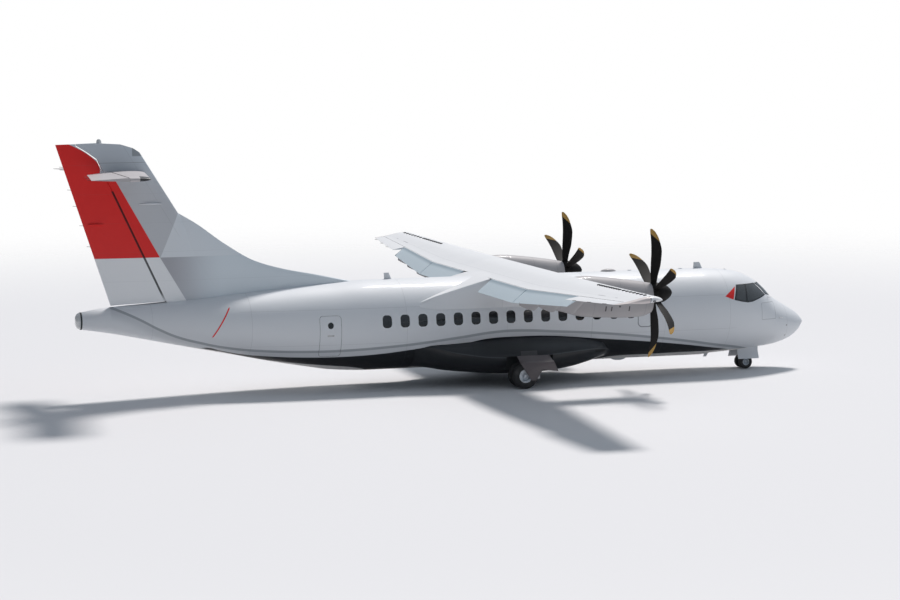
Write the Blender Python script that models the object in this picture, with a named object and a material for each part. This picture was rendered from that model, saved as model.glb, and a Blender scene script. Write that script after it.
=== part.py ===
"""Twin-turboprop high-wing airliner standing on its gear. Metres, +X forward, +Y port, +Z up.

The origin is on the ground under the middle of the overall box. Each node is one closed body.
"""
import math

import bpy
import bmesh
from mathutils import Matrix, Vector

# Driving dimensions
DATUM_X = -0.053             # from the frame the tables use to the middle of the overall box
SKIN_GAP = 0.0003            # between pieces that rest on each other
SHUT_GAP = 0.010             # above and below a door that opens
SWING_GAP = 0.018            # before and behind it, as its hinge lies askew
WALL = 0.06                  # fuselage shell with its frames and lining
FUSELAGE_SIDES = 40
FLOOR_Z = 1.15               # cabin floor and door sills

HALF_SPAN = 12.33
WING_BREAK_Y = 4.90          # the outer panel starts here
ROOT_LE = Vector((3.05, 0.0, 3.50))
TIP_LE = Vector((2.47, HALF_SPAN, 3.79))
ROOT_CHORD = 2.57
TIP_CHORD = 1.41
ROOT_INCIDENCE = math.radians(4.5)
TIP_INCIDENCE = math.radians(3.5)
ROOT_THICKNESS = 0.17
TIP_THICKNESS = 0.13
CAMBER = 0.025
HINGE_CHORD = 0.77           # flap and aileron hinges, as a share of the chord
FLAP_ANGLE = math.radians(28.0)
SURFACE_GAP = 0.010          # ahead of a control surface's round nose
NOSE_SIDES = 24

PROP_Y = 4.03
PROP_Z = 3.07
PROP_X = 5.52
BLADES = 6
BLADE_PHASE = math.radians(2.9)
SPINNER_RADIUS = 0.325
SHAFT_RADIUS = 0.08

MAIN_HUB = Vector((1.90, 2.05, 0.4065))
MAIN_WHEEL = (0.4065, 0.224, 0.42, 0.215)     # radius, width, spacing, rim radius
NOSE_HUB = Vector((10.38, 0.0, 0.225))
NOSE_WHEEL = (0.225, 0.16, 0.34, 0.115)
WHEEL_SIDES = 32
AXLE_RADIUS = 0.045
MAIN_BAY_ROOF = 1.00
LEG_TOP = Vector((2.52, 1.74, MAIN_BAY_ROOF))
LEG_FOOT = Vector((2.38, 2.05, 0.33))
LEG_DOOR_Y = 2.395
LEG_DOOR_THICKNESS = 0.018
NOSE_BAY = ((10.00, -0.30, 0.0), (10.85, 0.30, 1.15))
NOSE_PISTON_RADIUS = 0.04

TAILPLANE_Z = 6.93
TAILPLANE_HALF_SPAN = 3.655
TAILPLANE_ROOT = (-9.65, -11.50, 0.097)      # leading edge x, trailing edge x, thickness share
TAILPLANE_TIP = (-10.12, -11.88, 0.068)
ELEVATOR_AXIS_X = -10.78
ELEVATOR_RADIUS = (0.064, 0.054)

# Fuselage: x, top z, bottom z, half width
FUSELAGE = (
    (-11.740, 2.690, 2.170, 0.255),
    (-10.900, 2.820, 2.030, 0.400),
    (-9.570, 2.900, 1.750, 0.640),
    (-8.320, 2.990, 1.480, 0.880),
    (-7.050, 3.090, 1.215, 1.090),
    (-5.780, 3.190, 0.940, 1.260),
    (-4.700, 3.275, 0.735, 1.352),
    (-3.800, 3.335, 0.592, 1.408),
    (-2.600, 3.3975, 0.5325, 1.4325),
    (8.640, 3.3975, 0.5325, 1.4325),
    (9.100, 3.375, 0.580, 1.415),
    (9.520, 3.345, 0.605, 1.380),
    (10.060, 3.250, 0.640, 1.300),
    (10.600, 3.010, 0.690, 1.170),
    (10.900, 2.760, 0.725, 1.080),
    (11.180, 2.470, 0.760, 0.980),
    (11.540, 2.240, 0.830, 0.820),
    (11.900, 2.030, 0.950, 0.620),
    (12.200, 1.840, 1.130, 0.400),
    (12.400, 1.660, 1.330, 0.190),
    (12.486, 1.560, 1.450, 0.070),
)
NOSE_CUT = 9.30
WING_CUT_FRONT = 4.90
WING_CUT_REAR = -1.70
TAIL_CUT = -6.60
CABIN_REAR = -6.30
HOLD = ((7.35, -0.30, FLOOR_Z), (8.565, 1.05, 2.62))

# Doors: name, side, low x, high x, low z, high z, low and high corner radius, hinged edge
DOORS = (
    ("passenger_door", 1, -4.62, -3.87, FLOOR_Z, 2.90, 0.03, 0.12, "low"),
    ("service_door", -1, -4.50, -3.83, FLOOR_Z, 2.43, 0.10, 0.10, "fixed"),
    ("cargo_door", 1, 7.32, 8.595, FLOOR_Z, 2.68, 0.12, 0.03, "high"),
)
HINGE_RADIUS = 0.012

# Nacelle: x, top z, bottom z, half width
NACELLE = (
    (1.16, 3.06, 2.84, 0.12),
    (1.70, 3.40, 2.62, 0.30),
    (2.40, 3.60, 2.47, 0.40),
    (3.20, 3.68, 2.40, 0.45),
    (3.90, 3.62, 2.37, 0.47),
    (4.60, 3.53, 2.34, 0.47),
    (5.10, 3.45, 2.36, 0.43),
    (5.40, 3.395, 2.46, 0.36),
)
INTAKE = (                       # under the spinner: x, top, bottom, half width
    (5.10, 2.635, 2.545, 0.15),
    (5.60, 2.660, 2.520, 0.21),
)
ENGINE = ((3.45, -0.25, 2.70), (5.20, 0.25, 3.22))

# Gear fairing: x, lowest z, widest z, widest y, top z
GEAR_FAIRING = (                 # x, lowest z, widest z, widest y, top z, share of the full form
    (-1.40, 0.600, 1.28, 1.265, 1.40, 0.12),
    (-1.10, 0.570, 1.29, 1.330, 1.42, 0.35),
    (-0.75, 0.530, 1.27, 1.440, 1.42, 0.70),
    (-0.35, 0.480, 1.17, 1.555, 1.43, 0.95),
    (0.20, 0.420, 1.07, 1.715, 1.46, 1.00),
    (0.60, 0.385, 1.02, 1.815, 1.49, 1.00),
    (1.05, 0.340, 0.97, 1.900, 1.53, 1.00),
    (1.75, 0.300, 0.965, 1.970, 1.56, 1.00),
    (2.70, 0.310, 0.99, 1.965, 1.57, 1.00),
    (3.40, 0.360, 1.03, 1.890, 1.53, 1.00),
    (3.90, 0.425, 1.065, 1.790, 1.48, 1.00),
    (4.40, 0.530, 1.075, 1.650, 1.40, 0.95),
    (4.75, 0.610, 1.04, 1.470, 1.32, 0.80),
    (5.00, 0.690, 1.00, 1.270, 1.22, 0.60),
    (5.18, 0.760, 0.97, 1.060, 1.10, 0.30),
)

# Wing fairing: x, lower edge half width, lower edge z, shoulder half width, shoulder z, crown z
WING_FAIRING = (
    (-1.25, 1.300, 2.60, 1.215, 2.74, 2.80),
    (-0.60, 1.345, 2.50, 1.250, 2.96, 3.00),
    (0.00, 1.345, 2.50, 1.260, 3.13, 3.17),
    (0.50, 1.345, 2.50, 1.270, 3.27, 3.31),
    (1.00, 1.345, 2.50, 1.270, 3.40, 3.43),
    (1.50, 1.345, 2.50, 1.300, 3.50, 3.52),
    (2.10, 1.345, 2.50, 1.300, 3.56, 3.60),
    (2.70, 1.345, 2.50, 1.300, 3.50, 3.58),
    (3.20, 1.345, 2.50, 1.300, 3.34, 3.48),
    (3.80, 1.345, 2.50, 1.280, 3.12, 3.40),
    (4.50, 1.335, 2.50, 1.230, 2.90, 3.20),
    (4.75, 1.300, 2.60, 1.200, 2.74, 2.80),
)

# Trailing edge surfaces: name, inner y, outer y, angle down at rest
SURFACES = (
    ("inner_flap", 1.50, 4.88, FLAP_ANGLE),
    ("outer_flap", 4.93, 8.94, FLAP_ANGLE),
    ("aileron", 8.97, 12.10, 0.0),
)
BRACKET_HALF_WIDTH = 0.03

# Fin and rudder in side view, x and z
DORSAL = (
    (-3.10, 3.375), (-4.31, 3.630), (-5.27, 3.820), (-6.23, 4.110), (-7.18, 4.670),
    (-8.11, 5.350), (-8.64, 5.670), (-8.95, 5.670), (-8.95, 2.600), (-3.10, 2.600),
)
DORSAL_HALF_THICKNESS = 0.035
FIN_LEAD = ((-8.64, 5.67), (-9.79, 7.54))
FIN_TRAIL = ((-10.80, 2.90), (-12.38, 7.835))
FIN_THICKNESS = 0.09
FIN_TOP = ((-9.55, 7.37), (-10.02, 7.70), (-10.40, 7.82), (-11.16, 7.87), (-11.75, 7.852))
FIN_REAR = ((-11.75, 7.800), (-11.455, 7.622), (-11.120, 7.382), (-10.922, 7.07), (-8.548, 2.00))
RUDDER_AXIS = (Vector((-9.146, 0.0, 2.93)), Vector((-11.031, 0.0, 7.05)))
RUDDER_RADIUS = (0.136, 0.089)
RUDDER_SIDE = (
    (-8.949, 2.50), (-11.031, 7.05), (-11.17, 7.33), (-11.48, 7.58), (-11.775, 7.777),
    (-11.775, 7.846), (-12.80, 7.826), (-12.80, 2.50),
)
RUDDER_FOOT_GAP = 0.040

# Blade: radius, chord, forward offset, blade angle in degrees, thickness
BLADE = (
    (0.24, 0.17, 0.000, 76.0, 0.110),
    (0.50, 0.22, 0.010, 70.0, 0.070),
    (0.90, 0.31, 0.055, 62.0, 0.036),
    (1.30, 0.32, 0.075, 56.0, 0.024),
    (1.65, 0.25, 0.020, 52.0, 0.016),
    (1.87, 0.16, -0.060, 49.0, 0.011),
    (1.965, 0.06, -0.120, 48.0, 0.008),
)
BLADE_SECTION = (
    (0.50, 0.00), (0.34, 0.36), (0.02, 0.50), (-0.30, 0.32), (-0.50, 0.08),
    (-0.50, -0.08), (-0.30, -0.24), (0.02, -0.36), (0.34, -0.26),
)
SPINNER = ((5.6403, 0.325), (5.75, 0.312), (5.88, 0.268), (6.00, 0.195), (6.08, 0.118), (6.13, 0.040))

SIDES = (("left", 1), ("right", -1))

# Colours: red, green, blue, roughness, metallic
FINISHES = {
    "white_paint": (0.80, 0.82, 0.84, 0.30, 0.0),
    "light_composite": (0.74, 0.77, 0.80, 0.34, 0.0),
    "red_paint": (0.52, 0.04, 0.05, 0.32, 0.0),
    "charcoal_paint": (0.045, 0.052, 0.060, 0.35, 0.0),
    "black_composite": (0.012, 0.012, 0.013, 0.45, 0.0),
    "rubber": (0.018, 0.018, 0.019, 0.80, 0.0),
    "wheel_alloy": (0.50, 0.53, 0.56, 0.38, 0.8),
    "gear_steel": (0.62, 0.63, 0.64, 0.35, 0.7),
    "engine_metal": (0.30, 0.30, 0.31, 0.45, 0.9),
    "lamp_glass": (0.70, 0.70, 0.68, 0.15, 0.0),
}


def finish_material(name):
    """The Principled material of one finish, made once."""
    material = bpy.data.materials.get(name)
    if material is None:
        red, green, blue, roughness, metallic = FINISHES[name]
        material = bpy.data.materials.new(name)
        material.use_nodes = True
        shader = material.node_tree.nodes["Principled BSDF"]
        shader.inputs["Base Color"].default_value = (red, green, blue, 1.0)
        shader.inputs["Roughness"].default_value = roughness
        shader.inputs["Metallic"].default_value = metallic
    return material


def add_object(name, bm, finish=None):
    """Turn a bmesh into an object with outward faces; with no finish it is a cutter."""
    bmesh.ops.recalc_face_normals(bm, faces=bm.faces)
    mesh = bpy.data.meshes.new(name)
    bm.to_mesh(mesh)
    bm.free()
    obj = bpy.data.objects.new(name, mesh)
    bpy.context.scene.collection.objects.link(obj)
    if finish:
        mesh.materials.append(finish_material(finish))
        mesh.shade_smooth()
        mesh.set_sharp_from_angle(angle=math.radians(35.0))
    else:
        obj.hide_render = True
        obj.display_type = "WIRE"
    return obj


def boolean(obj, tool, operation):
    """Add an exact Boolean of a cutter to an object."""
    step = obj.modifiers.new(operation.lower() + "_" + tool.name, "BOOLEAN")
    step.operation = operation
    step.solver = "EXACT"
    step.object = tool
    return obj


def join(obj, shapes):
    """Join more shapes onto an object, each as a cutter of its own."""
    for i, bm in enumerate(shapes):
        boolean(obj, add_object("%s_joined_%d" % (obj.name, i), bm), "UNION")
    return obj


def set_pivot(obj, point):
    """Put an object's origin on its joint without moving its shape."""
    obj.data.transform(Matrix.Translation(-Vector(point)))
    obj.location = point
    return obj


def loft(rings, split=False):
    """A closed body through rings of points, in order, with flat ends.

    Split sides keep the same diagonals in a shape and in its grown copy.
    """
    bm = bmesh.new()
    rows = [[bm.verts.new(point) for point in ring] for ring in rings]
    count = len(rows[0])
    for low, high in zip(rows, rows[1:]):
        for i in range(count):
            j = (i + 1) % count
            if split:
                bm.faces.new((low[i], low[j], high[j]))
                bm.faces.new((low[i], high[j], high[i]))
            else:
                bm.faces.new((low[i], low[j], high[j], high[i]))
    bm.faces.new(rows[0])
    bm.faces.new(rows[-1])
    return bm


def box(low, high):
    """A box between two corners."""
    bm = bmesh.new()
    bmesh.ops.create_cube(bm, size=1.0)
    bmesh.ops.scale(bm, vec=Vector(high) - Vector(low), verts=bm.verts)
    bmesh.ops.translate(bm, vec=(Vector(high) + Vector(low)) / 2, verts=bm.verts)
    return bm


def rod(start, end, radius, sides=16, end_radius=None, half_turn=False):
    """A round bar or cone between two points, turned by half a side where asked."""
    start = Vector(start)
    end = Vector(end)
    bm = bmesh.new()
    bmesh.ops.create_cone(
        bm, cap_ends=True, segments=sides, radius1=radius,
        radius2=radius if end_radius is None else end_radius, depth=(end - start).length,
    )
    spin = Matrix.Rotation(math.pi / sides if half_turn else 0.0, 4, "Z")
    turn = (end - start).to_track_quat("Z", "Y").to_matrix().to_4x4() @ spin
    bmesh.ops.transform(bm, matrix=Matrix.Translation((start + end) / 2) @ turn, verts=bm.verts)
    return bm


def prism_y(outline, low_y, high_y):
    """An outline of x and z points run along Y."""
    return loft([[(x, y, z) for x, z in outline] for y in (low_y, high_y)])


def prism_x(outline, low_x, high_x):
    """An outline of y and z points run along X."""
    return loft([[(x, y, z) for y, z in outline] for x in (low_x, high_x)])


def turned_y(profile, centre, sides):
    """A closed profile of radius and y turned about Y, with a flat at the bottom."""
    bm = bmesh.new()
    rows = []
    for i in range(sides):
        angle = 2 * math.pi * (i + 0.5) / sides
        cosine = math.cos(angle)
        sine = math.sin(angle)
        rows.append([
            bm.verts.new((centre.x + r * cosine, centre.y + y, centre.z + r * sine))
            for r, y in profile
        ])
    count = len(profile)
    for i in range(sides):
        here = rows[i]
        there = rows[(i + 1) % sides]
        for k in range(count):
            m = (k + 1) % count
            bm.faces.new((here[k], here[m], there[m], there[k]))
    return bm


def fit_radius(radius, sides):
    """Radius of a many-sided bore whose flats leave the skin gap round a bar."""
    return (radius + SKIN_GAP) / math.cos(math.pi / sides)


def flip(point, side):
    """A port point, or its mirror image where side is -1."""
    return Vector((point[0], point[1] * side, point[2]))


def table_at(table, x):
    """The row of a table at any x, between its rows."""
    for low, high in zip(table, table[1:]):
        if x <= high[0]:
            share = (x - low[0]) / (high[0] - low[0])
            return tuple(a + (b - a) * share for a, b in zip(low, high))
    return table[-1]


def oval(x, top, bottom, half_width, sides=FUSELAGE_SIDES, grow=0.0):
    """A ring of an elliptical section across X."""
    middle = (top + bottom) / 2
    high = (top - bottom) / 2 + grow
    wide = half_width + grow
    return [
        Vector((x, wide * math.sin(2 * math.pi * (i + 0.5) / sides),
                middle + high * math.cos(2 * math.pi * (i + 0.5) / sides)))
        for i in range(sides)
    ]


def fuselage_shape(low_x, high_x, grow=0.0):
    """The fuselage between two x, grown outwards or shrunk."""
    places = [row[0] for row in FUSELAGE] + [TAIL_CUT, WING_CUT_REAR, WING_CUT_FRONT, NOSE_CUT]
    inner = [x for x in sorted(places) if low_x + 0.001 < x < high_x - 0.001]
    rows = [table_at(FUSELAGE, x) for x in [low_x] + inner + [high_x]]
    return loft([oval(*row, grow=grow) for row in rows], split=True)


def skin_y(x, z):
    """How far out the fuselage's flat-sided skin is at a station and height."""
    ring = oval(*table_at(FUSELAGE, x))
    for a, b in zip(ring, ring[1:]):
        if a.y > 0 and b.y > 0 and (a.z - z) * (b.z - z) <= 0:
            return a.y + (b.y - a.y) * (z - a.z) / (b.z - a.z)
    return 0.0


def rounded_outline(low_a, low_b, high_a, high_b, low_radius, high_radius, steps=4):
    """A rectangle with round corners, as points of two coordinates."""
    points = []
    corners = (
        (high_a - high_radius, high_b - high_radius, high_radius, 0),
        (low_a + high_radius, high_b - high_radius, high_radius, 90),
        (low_a + low_radius, low_b + low_radius, low_radius, 180),
        (high_a - low_radius, low_b + low_radius, low_radius, 270),
    )
    for a, b, radius, start in corners:
        for i in range(steps + 1):
            angle = math.radians(start + 90 * i / steps)
            points.append((a + radius * math.cos(angle), b + radius * math.sin(angle)))
    return points


def door_hinge(door):
    """The two ends of a door's hinge, on the skin along its hinged edge."""
    name, side, low_x, high_x, low_z, high_z, low_radius, high_radius, edge = door
    z = low_z if edge == "low" else high_z
    return [Vector((x, side * skin_y(x, z), z)) for x in (low_x, high_x)]


def door_prism(door, gap, end_gap):
    """A door's outline run through the fuselage's side."""
    name, side, low_x, high_x, low_z, high_z, low_radius, high_radius, edge = door
    outline = rounded_outline(
        low_x - end_gap, low_z - gap, high_x + end_gap, high_z + gap, low_radius + gap, high_radius + gap
    )
    low_y, high_y = sorted((side * 0.80, side * 1.60))
    return prism_y(outline, low_y, high_y)


def make_door(door, section):
    """A door cut from the fuselage's own shape, and its opening in its section."""
    name, side, low_x, high_x, low_z, high_z, low_radius, high_radius, edge = door
    panel = add_object(name, door_prism(door, 0.0, 0.0), "white_paint")
    outside = add_object(name + "_outside", fuselage_shape(low_x - 0.3, high_x + 0.3))
    inside = add_object(name + "_inside", fuselage_shape(low_x - 0.3, high_x + 0.3, -WALL))
    boolean(panel, outside, "INTERSECT")
    boolean(panel, inside, "DIFFERENCE")
    gaps = (SKIN_GAP, SKIN_GAP) if edge == "fixed" else (SHUT_GAP, SWING_GAP)
    boolean(section, add_object(name + "_opening", door_prism(door, *gaps)), "DIFFERENCE")
    if edge == "fixed":
        return panel
    start, end = door_hinge(door)
    low = start.lerp(end, 0.20)
    high = start.lerp(end, 0.80)
    barrel = rod(low, high, HINGE_RADIUS, NOSE_SIDES)
    boolean(panel, add_object(name + "_barrel", barrel), "UNION")
    low = start.lerp(end, 0.19)
    high = start.lerp(end, 0.81)
    seat = rod(low, high, fit_radius(HINGE_RADIUS, NOSE_SIDES), NOSE_SIDES)
    boolean(section, add_object(name + "_seat", seat), "DIFFERENCE")
    return set_pivot(panel, start.lerp(end, 0.5))


def make_fuselage(wing_cutter):
    """Five fuselage sections split at their production joints, with doors and bays."""
    half_gap = SKIN_GAP / 2
    cuts = (
        ("tail_fuselage", FUSELAGE[0][0], TAIL_CUT),
        ("rear_fuselage", TAIL_CUT, WING_CUT_REAR),
        ("centre_fuselage", WING_CUT_REAR, WING_CUT_FRONT),
        ("forward_fuselage", WING_CUT_FRONT, NOSE_CUT),
        ("nose_section", NOSE_CUT, FUSELAGE[-1][0]),
    )
    sections = {}
    for name, low_x, high_x in cuts:
        low = low_x if name == "tail_fuselage" else low_x + half_gap
        high = high_x if name == "nose_section" else high_x - half_gap
        sections[name] = add_object(name, fuselage_shape(low, high), "white_paint")
    tail_space = add_object("tail_space", fuselage_shape(-10.90, TAIL_CUT + 0.1, -WALL))
    boolean(sections["tail_fuselage"], tail_space, "DIFFERENCE")
    cabin = add_object("cabin_space", fuselage_shape(CABIN_REAR, WING_CUT_REAR + 0.1, -WALL))
    above = add_object("above_floor", box((-8.0, -2.0, FLOOR_Z), (0.0, 2.0, 4.0)))
    boolean(cabin, above, "INTERSECT")
    boolean(sections["rear_fuselage"], cabin, "DIFFERENCE")
    boolean(sections["centre_fuselage"], wing_cutter, "DIFFERENCE")
    boolean(sections["forward_fuselage"], add_object("hold_space", box(*HOLD)), "DIFFERENCE")
    boolean(sections["nose_section"], add_object("nose_bay", box(*NOSE_BAY)), "DIFFERENCE")
    for door in DOORS:
        section = "forward_fuselage" if door[0] == "cargo_door" else "rear_fuselage"
        make_door(door, sections[section])
    x, top, bottom, half_width = FUSELAGE[0]
    tail_light = loft([
        oval(x - SKIN_GAP, top, bottom, half_width, 20),
        oval(x - 0.09, top - 0.04, bottom + 0.05, half_width - 0.04, 20),
        oval(x - 0.155, top - 0.14, bottom + 0.15, half_width - 0.13, 20),
    ])
    add_object("tail_light", tail_light, "lamp_glass")


def make_antennas(fuselage_cutter):
    """The two blade aerials on the crown."""
    blades = (("antenna_front", 8.56, 8.88, 3.60), ("antenna_rear", -2.05, -1.80, 3.60))
    for name, low_x, high_x, top_z in blades:
        outline = ((high_x, 3.30), (high_x - 0.10, top_z), (low_x + 0.02, top_z), (low_x, 3.30))
        blade = add_object(name, prism_y(outline, -0.012, 0.012), "white_paint")
        boolean(blade, fuselage_cutter, "DIFFERENCE")


def half_thickness(part, thickness):
    """Half thickness of a four-digit section, in chords."""
    poly = -0.1260 * part - 0.3516 * part ** 2 + 0.2843 * part ** 3 - 0.1015 * part ** 4
    return 5 * thickness * (0.2969 * math.sqrt(part) + poly)


def wing_half(part, thickness):
    """The wing's half thickness, thinned behind the middle of the chord."""
    share = min(max((part - 0.35) / 0.42, 0.0), 1.0)
    return half_thickness(part, thickness) * (1 - 0.40 * share ** 2 * (3 - 2 * share))


def camber_line(part):
    """Camber of the section, highest at a fifth of the chord and straight behind."""
    if part < 0.2:
        return CAMBER * (1 - ((part - 0.2) / 0.2) ** 2)
    return CAMBER * (1 - (part - 0.2) / 0.8)


def wing_section(y):
    """Leading edge, chord, incidence and thickness share at a distance out."""
    share = max(0.0, (y - WING_BREAK_Y) / (HALF_SPAN - WING_BREAK_Y))
    lead = ROOT_LE.lerp(TIP_LE, share)
    lead.y = y
    return (
        lead,
        ROOT_CHORD + (TIP_CHORD - ROOT_CHORD) * share,
        ROOT_INCIDENCE + (TIP_INCIDENCE - ROOT_INCIDENCE) * share,
        ROOT_THICKNESS + (TIP_THICKNESS - ROOT_THICKNESS) * share,
    )


def wing_point(y, side, part, offset):
    """A point at a share of the chord, offset in metres across the camber line."""
    lead, chord, incidence, thickness = wing_section(y)
    back = part * chord
    up = camber_line(part) * chord + offset
    x = lead.x - back * math.cos(incidence) - up * math.sin(incidence)
    z = lead.z - back * math.sin(incidence) + up * math.cos(incidence)
    return Vector((x, side * y, z))


WING_PARTS = (1.0, 0.90, 0.77, 0.60, 0.42, 0.26, 0.13, 0.05, 0.012)
EDGE = 0.004


def wing_ring(y, side, grow=0.0, shrink=1.0):
    """One wing section, from the trailing edge over the top and back below."""
    lead, chord, incidence, thickness = wing_section(y)
    back = Vector((grow, 0.0, 0.0))
    upper = []
    lower = []
    for part in WING_PARTS:
        high = max(wing_half(part, thickness) * chord, EDGE) * shrink + grow
        upper.append(wing_point(y, side, part, high))
        lower.append(wing_point(y, side, part, -high))
    upper[0] -= back
    lower[0] -= back
    return upper + [wing_point(y, side, 0.0, 0.0) + back] + lower[::-1]


def hinge_point(y, side):
    """A point on the flap and aileron hinge line."""
    return wing_point(y, side, HINGE_CHORD, 0.0)


def hinge_radius(y):
    """Radius of a flap's or aileron's round nose, a little under the wing's half thickness."""
    lead, chord, incidence, thickness = wing_section(y)
    return wing_half(HINGE_CHORD, thickness) * chord - 0.002


def nose_arc(radius):
    """Half a many-sided nose, from its top over its front to its bottom."""
    turns = [math.radians(90 - 360 * i / NOSE_SIDES) for i in range(NOSE_SIDES // 2 + 1)]
    return [(radius * math.cos(turn), radius * math.sin(turn)) for turn in turns]


def surface_ring(y, side, angle):
    """Section of a flap or aileron turned down by an angle about its hinge."""
    lead, chord, incidence, thickness = wing_section(y)
    centre = hinge_point(y, side)
    length = (1 - HINGE_CHORD) * chord
    drop = camber_line(HINGE_CHORD) * chord
    points = nose_arc(hinge_radius(y)) + [(-length, -drop - EDGE), (-length, -drop + EDGE)]
    cosine = math.cos(incidence + angle)
    sine = math.sin(incidence + angle)
    return [
        centre + Vector((forward * cosine - up * sine, 0.0, forward * sine + up * cosine))
        for forward, up in points
    ]


def surface_bay(name, side, inner, outer):
    """The cutter that clears the wing behind the hinge line."""
    rings = []
    for y in (inner, outer):
        centre = hinge_point(abs(y), 1)
        front = centre.x + hinge_radius(abs(y)) + SURFACE_GAP
        corners = ((front, -0.6), (front, 0.6), (centre.x - 1.2, 0.6), (centre.x - 1.2, -0.6))
        rings.append([(x, side * y, centre.z + z) for x, z in corners])
    return add_object(name + "_bay", loft(rings))


def make_surface(panel, name, side, inner, outer, angle):
    """A flap or aileron, with its hinge brackets and their round seats on the wing."""
    for i, share in enumerate((0.12, 0.5, 0.88)):
        y = inner + (outer - inner) * share
        centre = hinge_point(y, side)
        radius = hinge_radius(y)
        low = centre + Vector((radius * 0.80, -BRACKET_HALF_WIDTH, -radius * 0.5))
        high = centre + Vector((radius + 0.05, BRACKET_HALF_WIDTH, radius * 0.5))
        boolean(panel, add_object("%s_bracket_%d" % (name, i), box(low, high)), "UNION")
    ends = (inner - 0.05, outer + 0.05)
    radii = [fit_radius(hinge_radius(y), NOSE_SIDES) for y in ends]
    seat = rod(hinge_point(ends[0], side), hinge_point(ends[1], side), radii[0], NOSE_SIDES, radii[1])
    boolean(panel, add_object(name + "_seat", seat), "DIFFERENCE")
    surface = add_object(name, loft([surface_ring(y, side, angle) for y in (inner, outer)]), "white_paint")
    return set_pivot(surface, hinge_point((inner + outer) / 2, side))


def make_wing():
    """Wing centre section, outer panels, flaps and ailerons."""
    end = WING_BREAK_Y - SKIN_GAP / 2
    rings = [wing_ring(end, -1), wing_ring(end, 1)]
    centre = add_object("wing_centre", loft(rings), "white_paint")
    boolean(centre, surface_bay("wing_centre", 1, -WING_BREAK_Y, WING_BREAK_Y), "DIFFERENCE")
    start = WING_BREAK_Y + SKIN_GAP / 2
    for side_name, side in SIDES:
        rings = [wing_ring(y, side) for y in (start, HALF_SPAN - 0.17)]
        rings.append(wing_ring(HALF_SPAN - 0.06, side, shrink=0.75))
        rings.append(wing_ring(HALF_SPAN, side, shrink=0.35))
        outer_panel = add_object("wing_outer_" + side_name, loft(rings), "white_paint")
        bay = surface_bay("wing_outer_" + side_name, side, WING_BREAK_Y, 12.115)
        boolean(outer_panel, bay, "DIFFERENCE")
        for name, inner, outer, angle in SURFACES:
            panel = centre if name == "inner_flap" else outer_panel
            make_surface(panel, name + "_" + side_name, side, inner, outer, angle)


def make_wing_cutter():
    """The wing's centre part grown by the skin gap, for what wraps round it."""
    rings = [wing_ring(WING_BREAK_Y - 0.1, side, grow=SKIN_GAP) for side in (-1, 1)]
    cutter = add_object("wing_tunnel", loft(rings))
    centre = hinge_point(0.0, 1)
    front = centre.x + hinge_radius(0.0) + SURFACE_GAP - SKIN_GAP
    bay = add_object("wing_tunnel_end", box((front - 3.0, -6.0, 2.5), (front, 6.0, 4.5)))
    return boolean(cutter, bay, "DIFFERENCE")


def make_wing_fairing(fuselage_cutter, wing_cutter):
    """The hump that joins the wing to the top of the fuselage."""
    rings = []
    for x, low_y, low_z, high_y, high_z, crown in WING_FAIRING:
        half = [(low_y, low_z), (high_y, high_z - 0.10), (high_y - 0.10, high_z)]
        points = half + [(0.0, crown)] + [(-y, z) for y, z in half[::-1]]
        rings.append([(x, y, z) for y, z in points])
    fairing = add_object("wing_fairing", loft(rings), "white_paint")
    boolean(fairing, fuselage_cutter, "DIFFERENCE")
    boolean(fairing, wing_cutter, "DIFFERENCE")


def make_nacelles(wing_cutter):
    """Nacelles with the engine, propeller and spinner of each."""
    for side_name, side in SIDES:
        place = Vector((0.0, side * PROP_Y, 0.0))
        rings = [[p + place for p in oval(*row, sides=24)] for row in NACELLE]
        nacelle = add_object("nacelle_" + side_name, loft(rings), "light_composite")
        boolean(nacelle, wing_cutter, "DIFFERENCE")
        low = Vector(ENGINE[0]) + place
        high = Vector(ENGINE[1]) + place
        margin = Vector((0.15, SKIN_GAP, SKIN_GAP))
        room = box(low - margin, high + Vector((0.5, SKIN_GAP, 0.03)))
        boolean(nacelle, add_object("engine_room_" + side_name, room), "DIFFERENCE")
        mouth = [[p + place for p in oval(*row, sides=24)] for row in INTAKE]
        boolean(nacelle, add_object("intake_" + side_name, loft(mouth)), "DIFFERENCE")
        engine = add_object("engine_" + side_name, box(low, high), "engine_metal")
        shaft_start = Vector((high.x - 0.1, place.y, PROP_Z))
        shaft_end = Vector((5.58, place.y, PROP_Z))
        join(engine, [rod(shaft_start, shaft_end, SHAFT_RADIUS, NOSE_SIDES)])
        make_propeller(side_name, Vector((PROP_X, side * PROP_Y, PROP_Z)))


def blade_ring(hub, phase, radius, chord, offset, angle, thickness):
    """One section of a blade; the leading edge points forward and round clockwise from behind."""
    turn = math.radians(angle)
    out = Vector((0.0, -math.sin(phase), math.cos(phase)))
    ahead = Vector((0.0, -math.cos(phase), -math.sin(phase)))
    forward = Vector((1.0, 0.0, 0.0))
    along = ahead * math.cos(turn) + forward * math.sin(turn)
    across = forward * math.cos(turn) - ahead * math.sin(turn)
    middle = hub + out * radius + forward * offset
    return [middle + along * (chord * u) + across * (thickness * v) for u, v in BLADE_SECTION]


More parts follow.
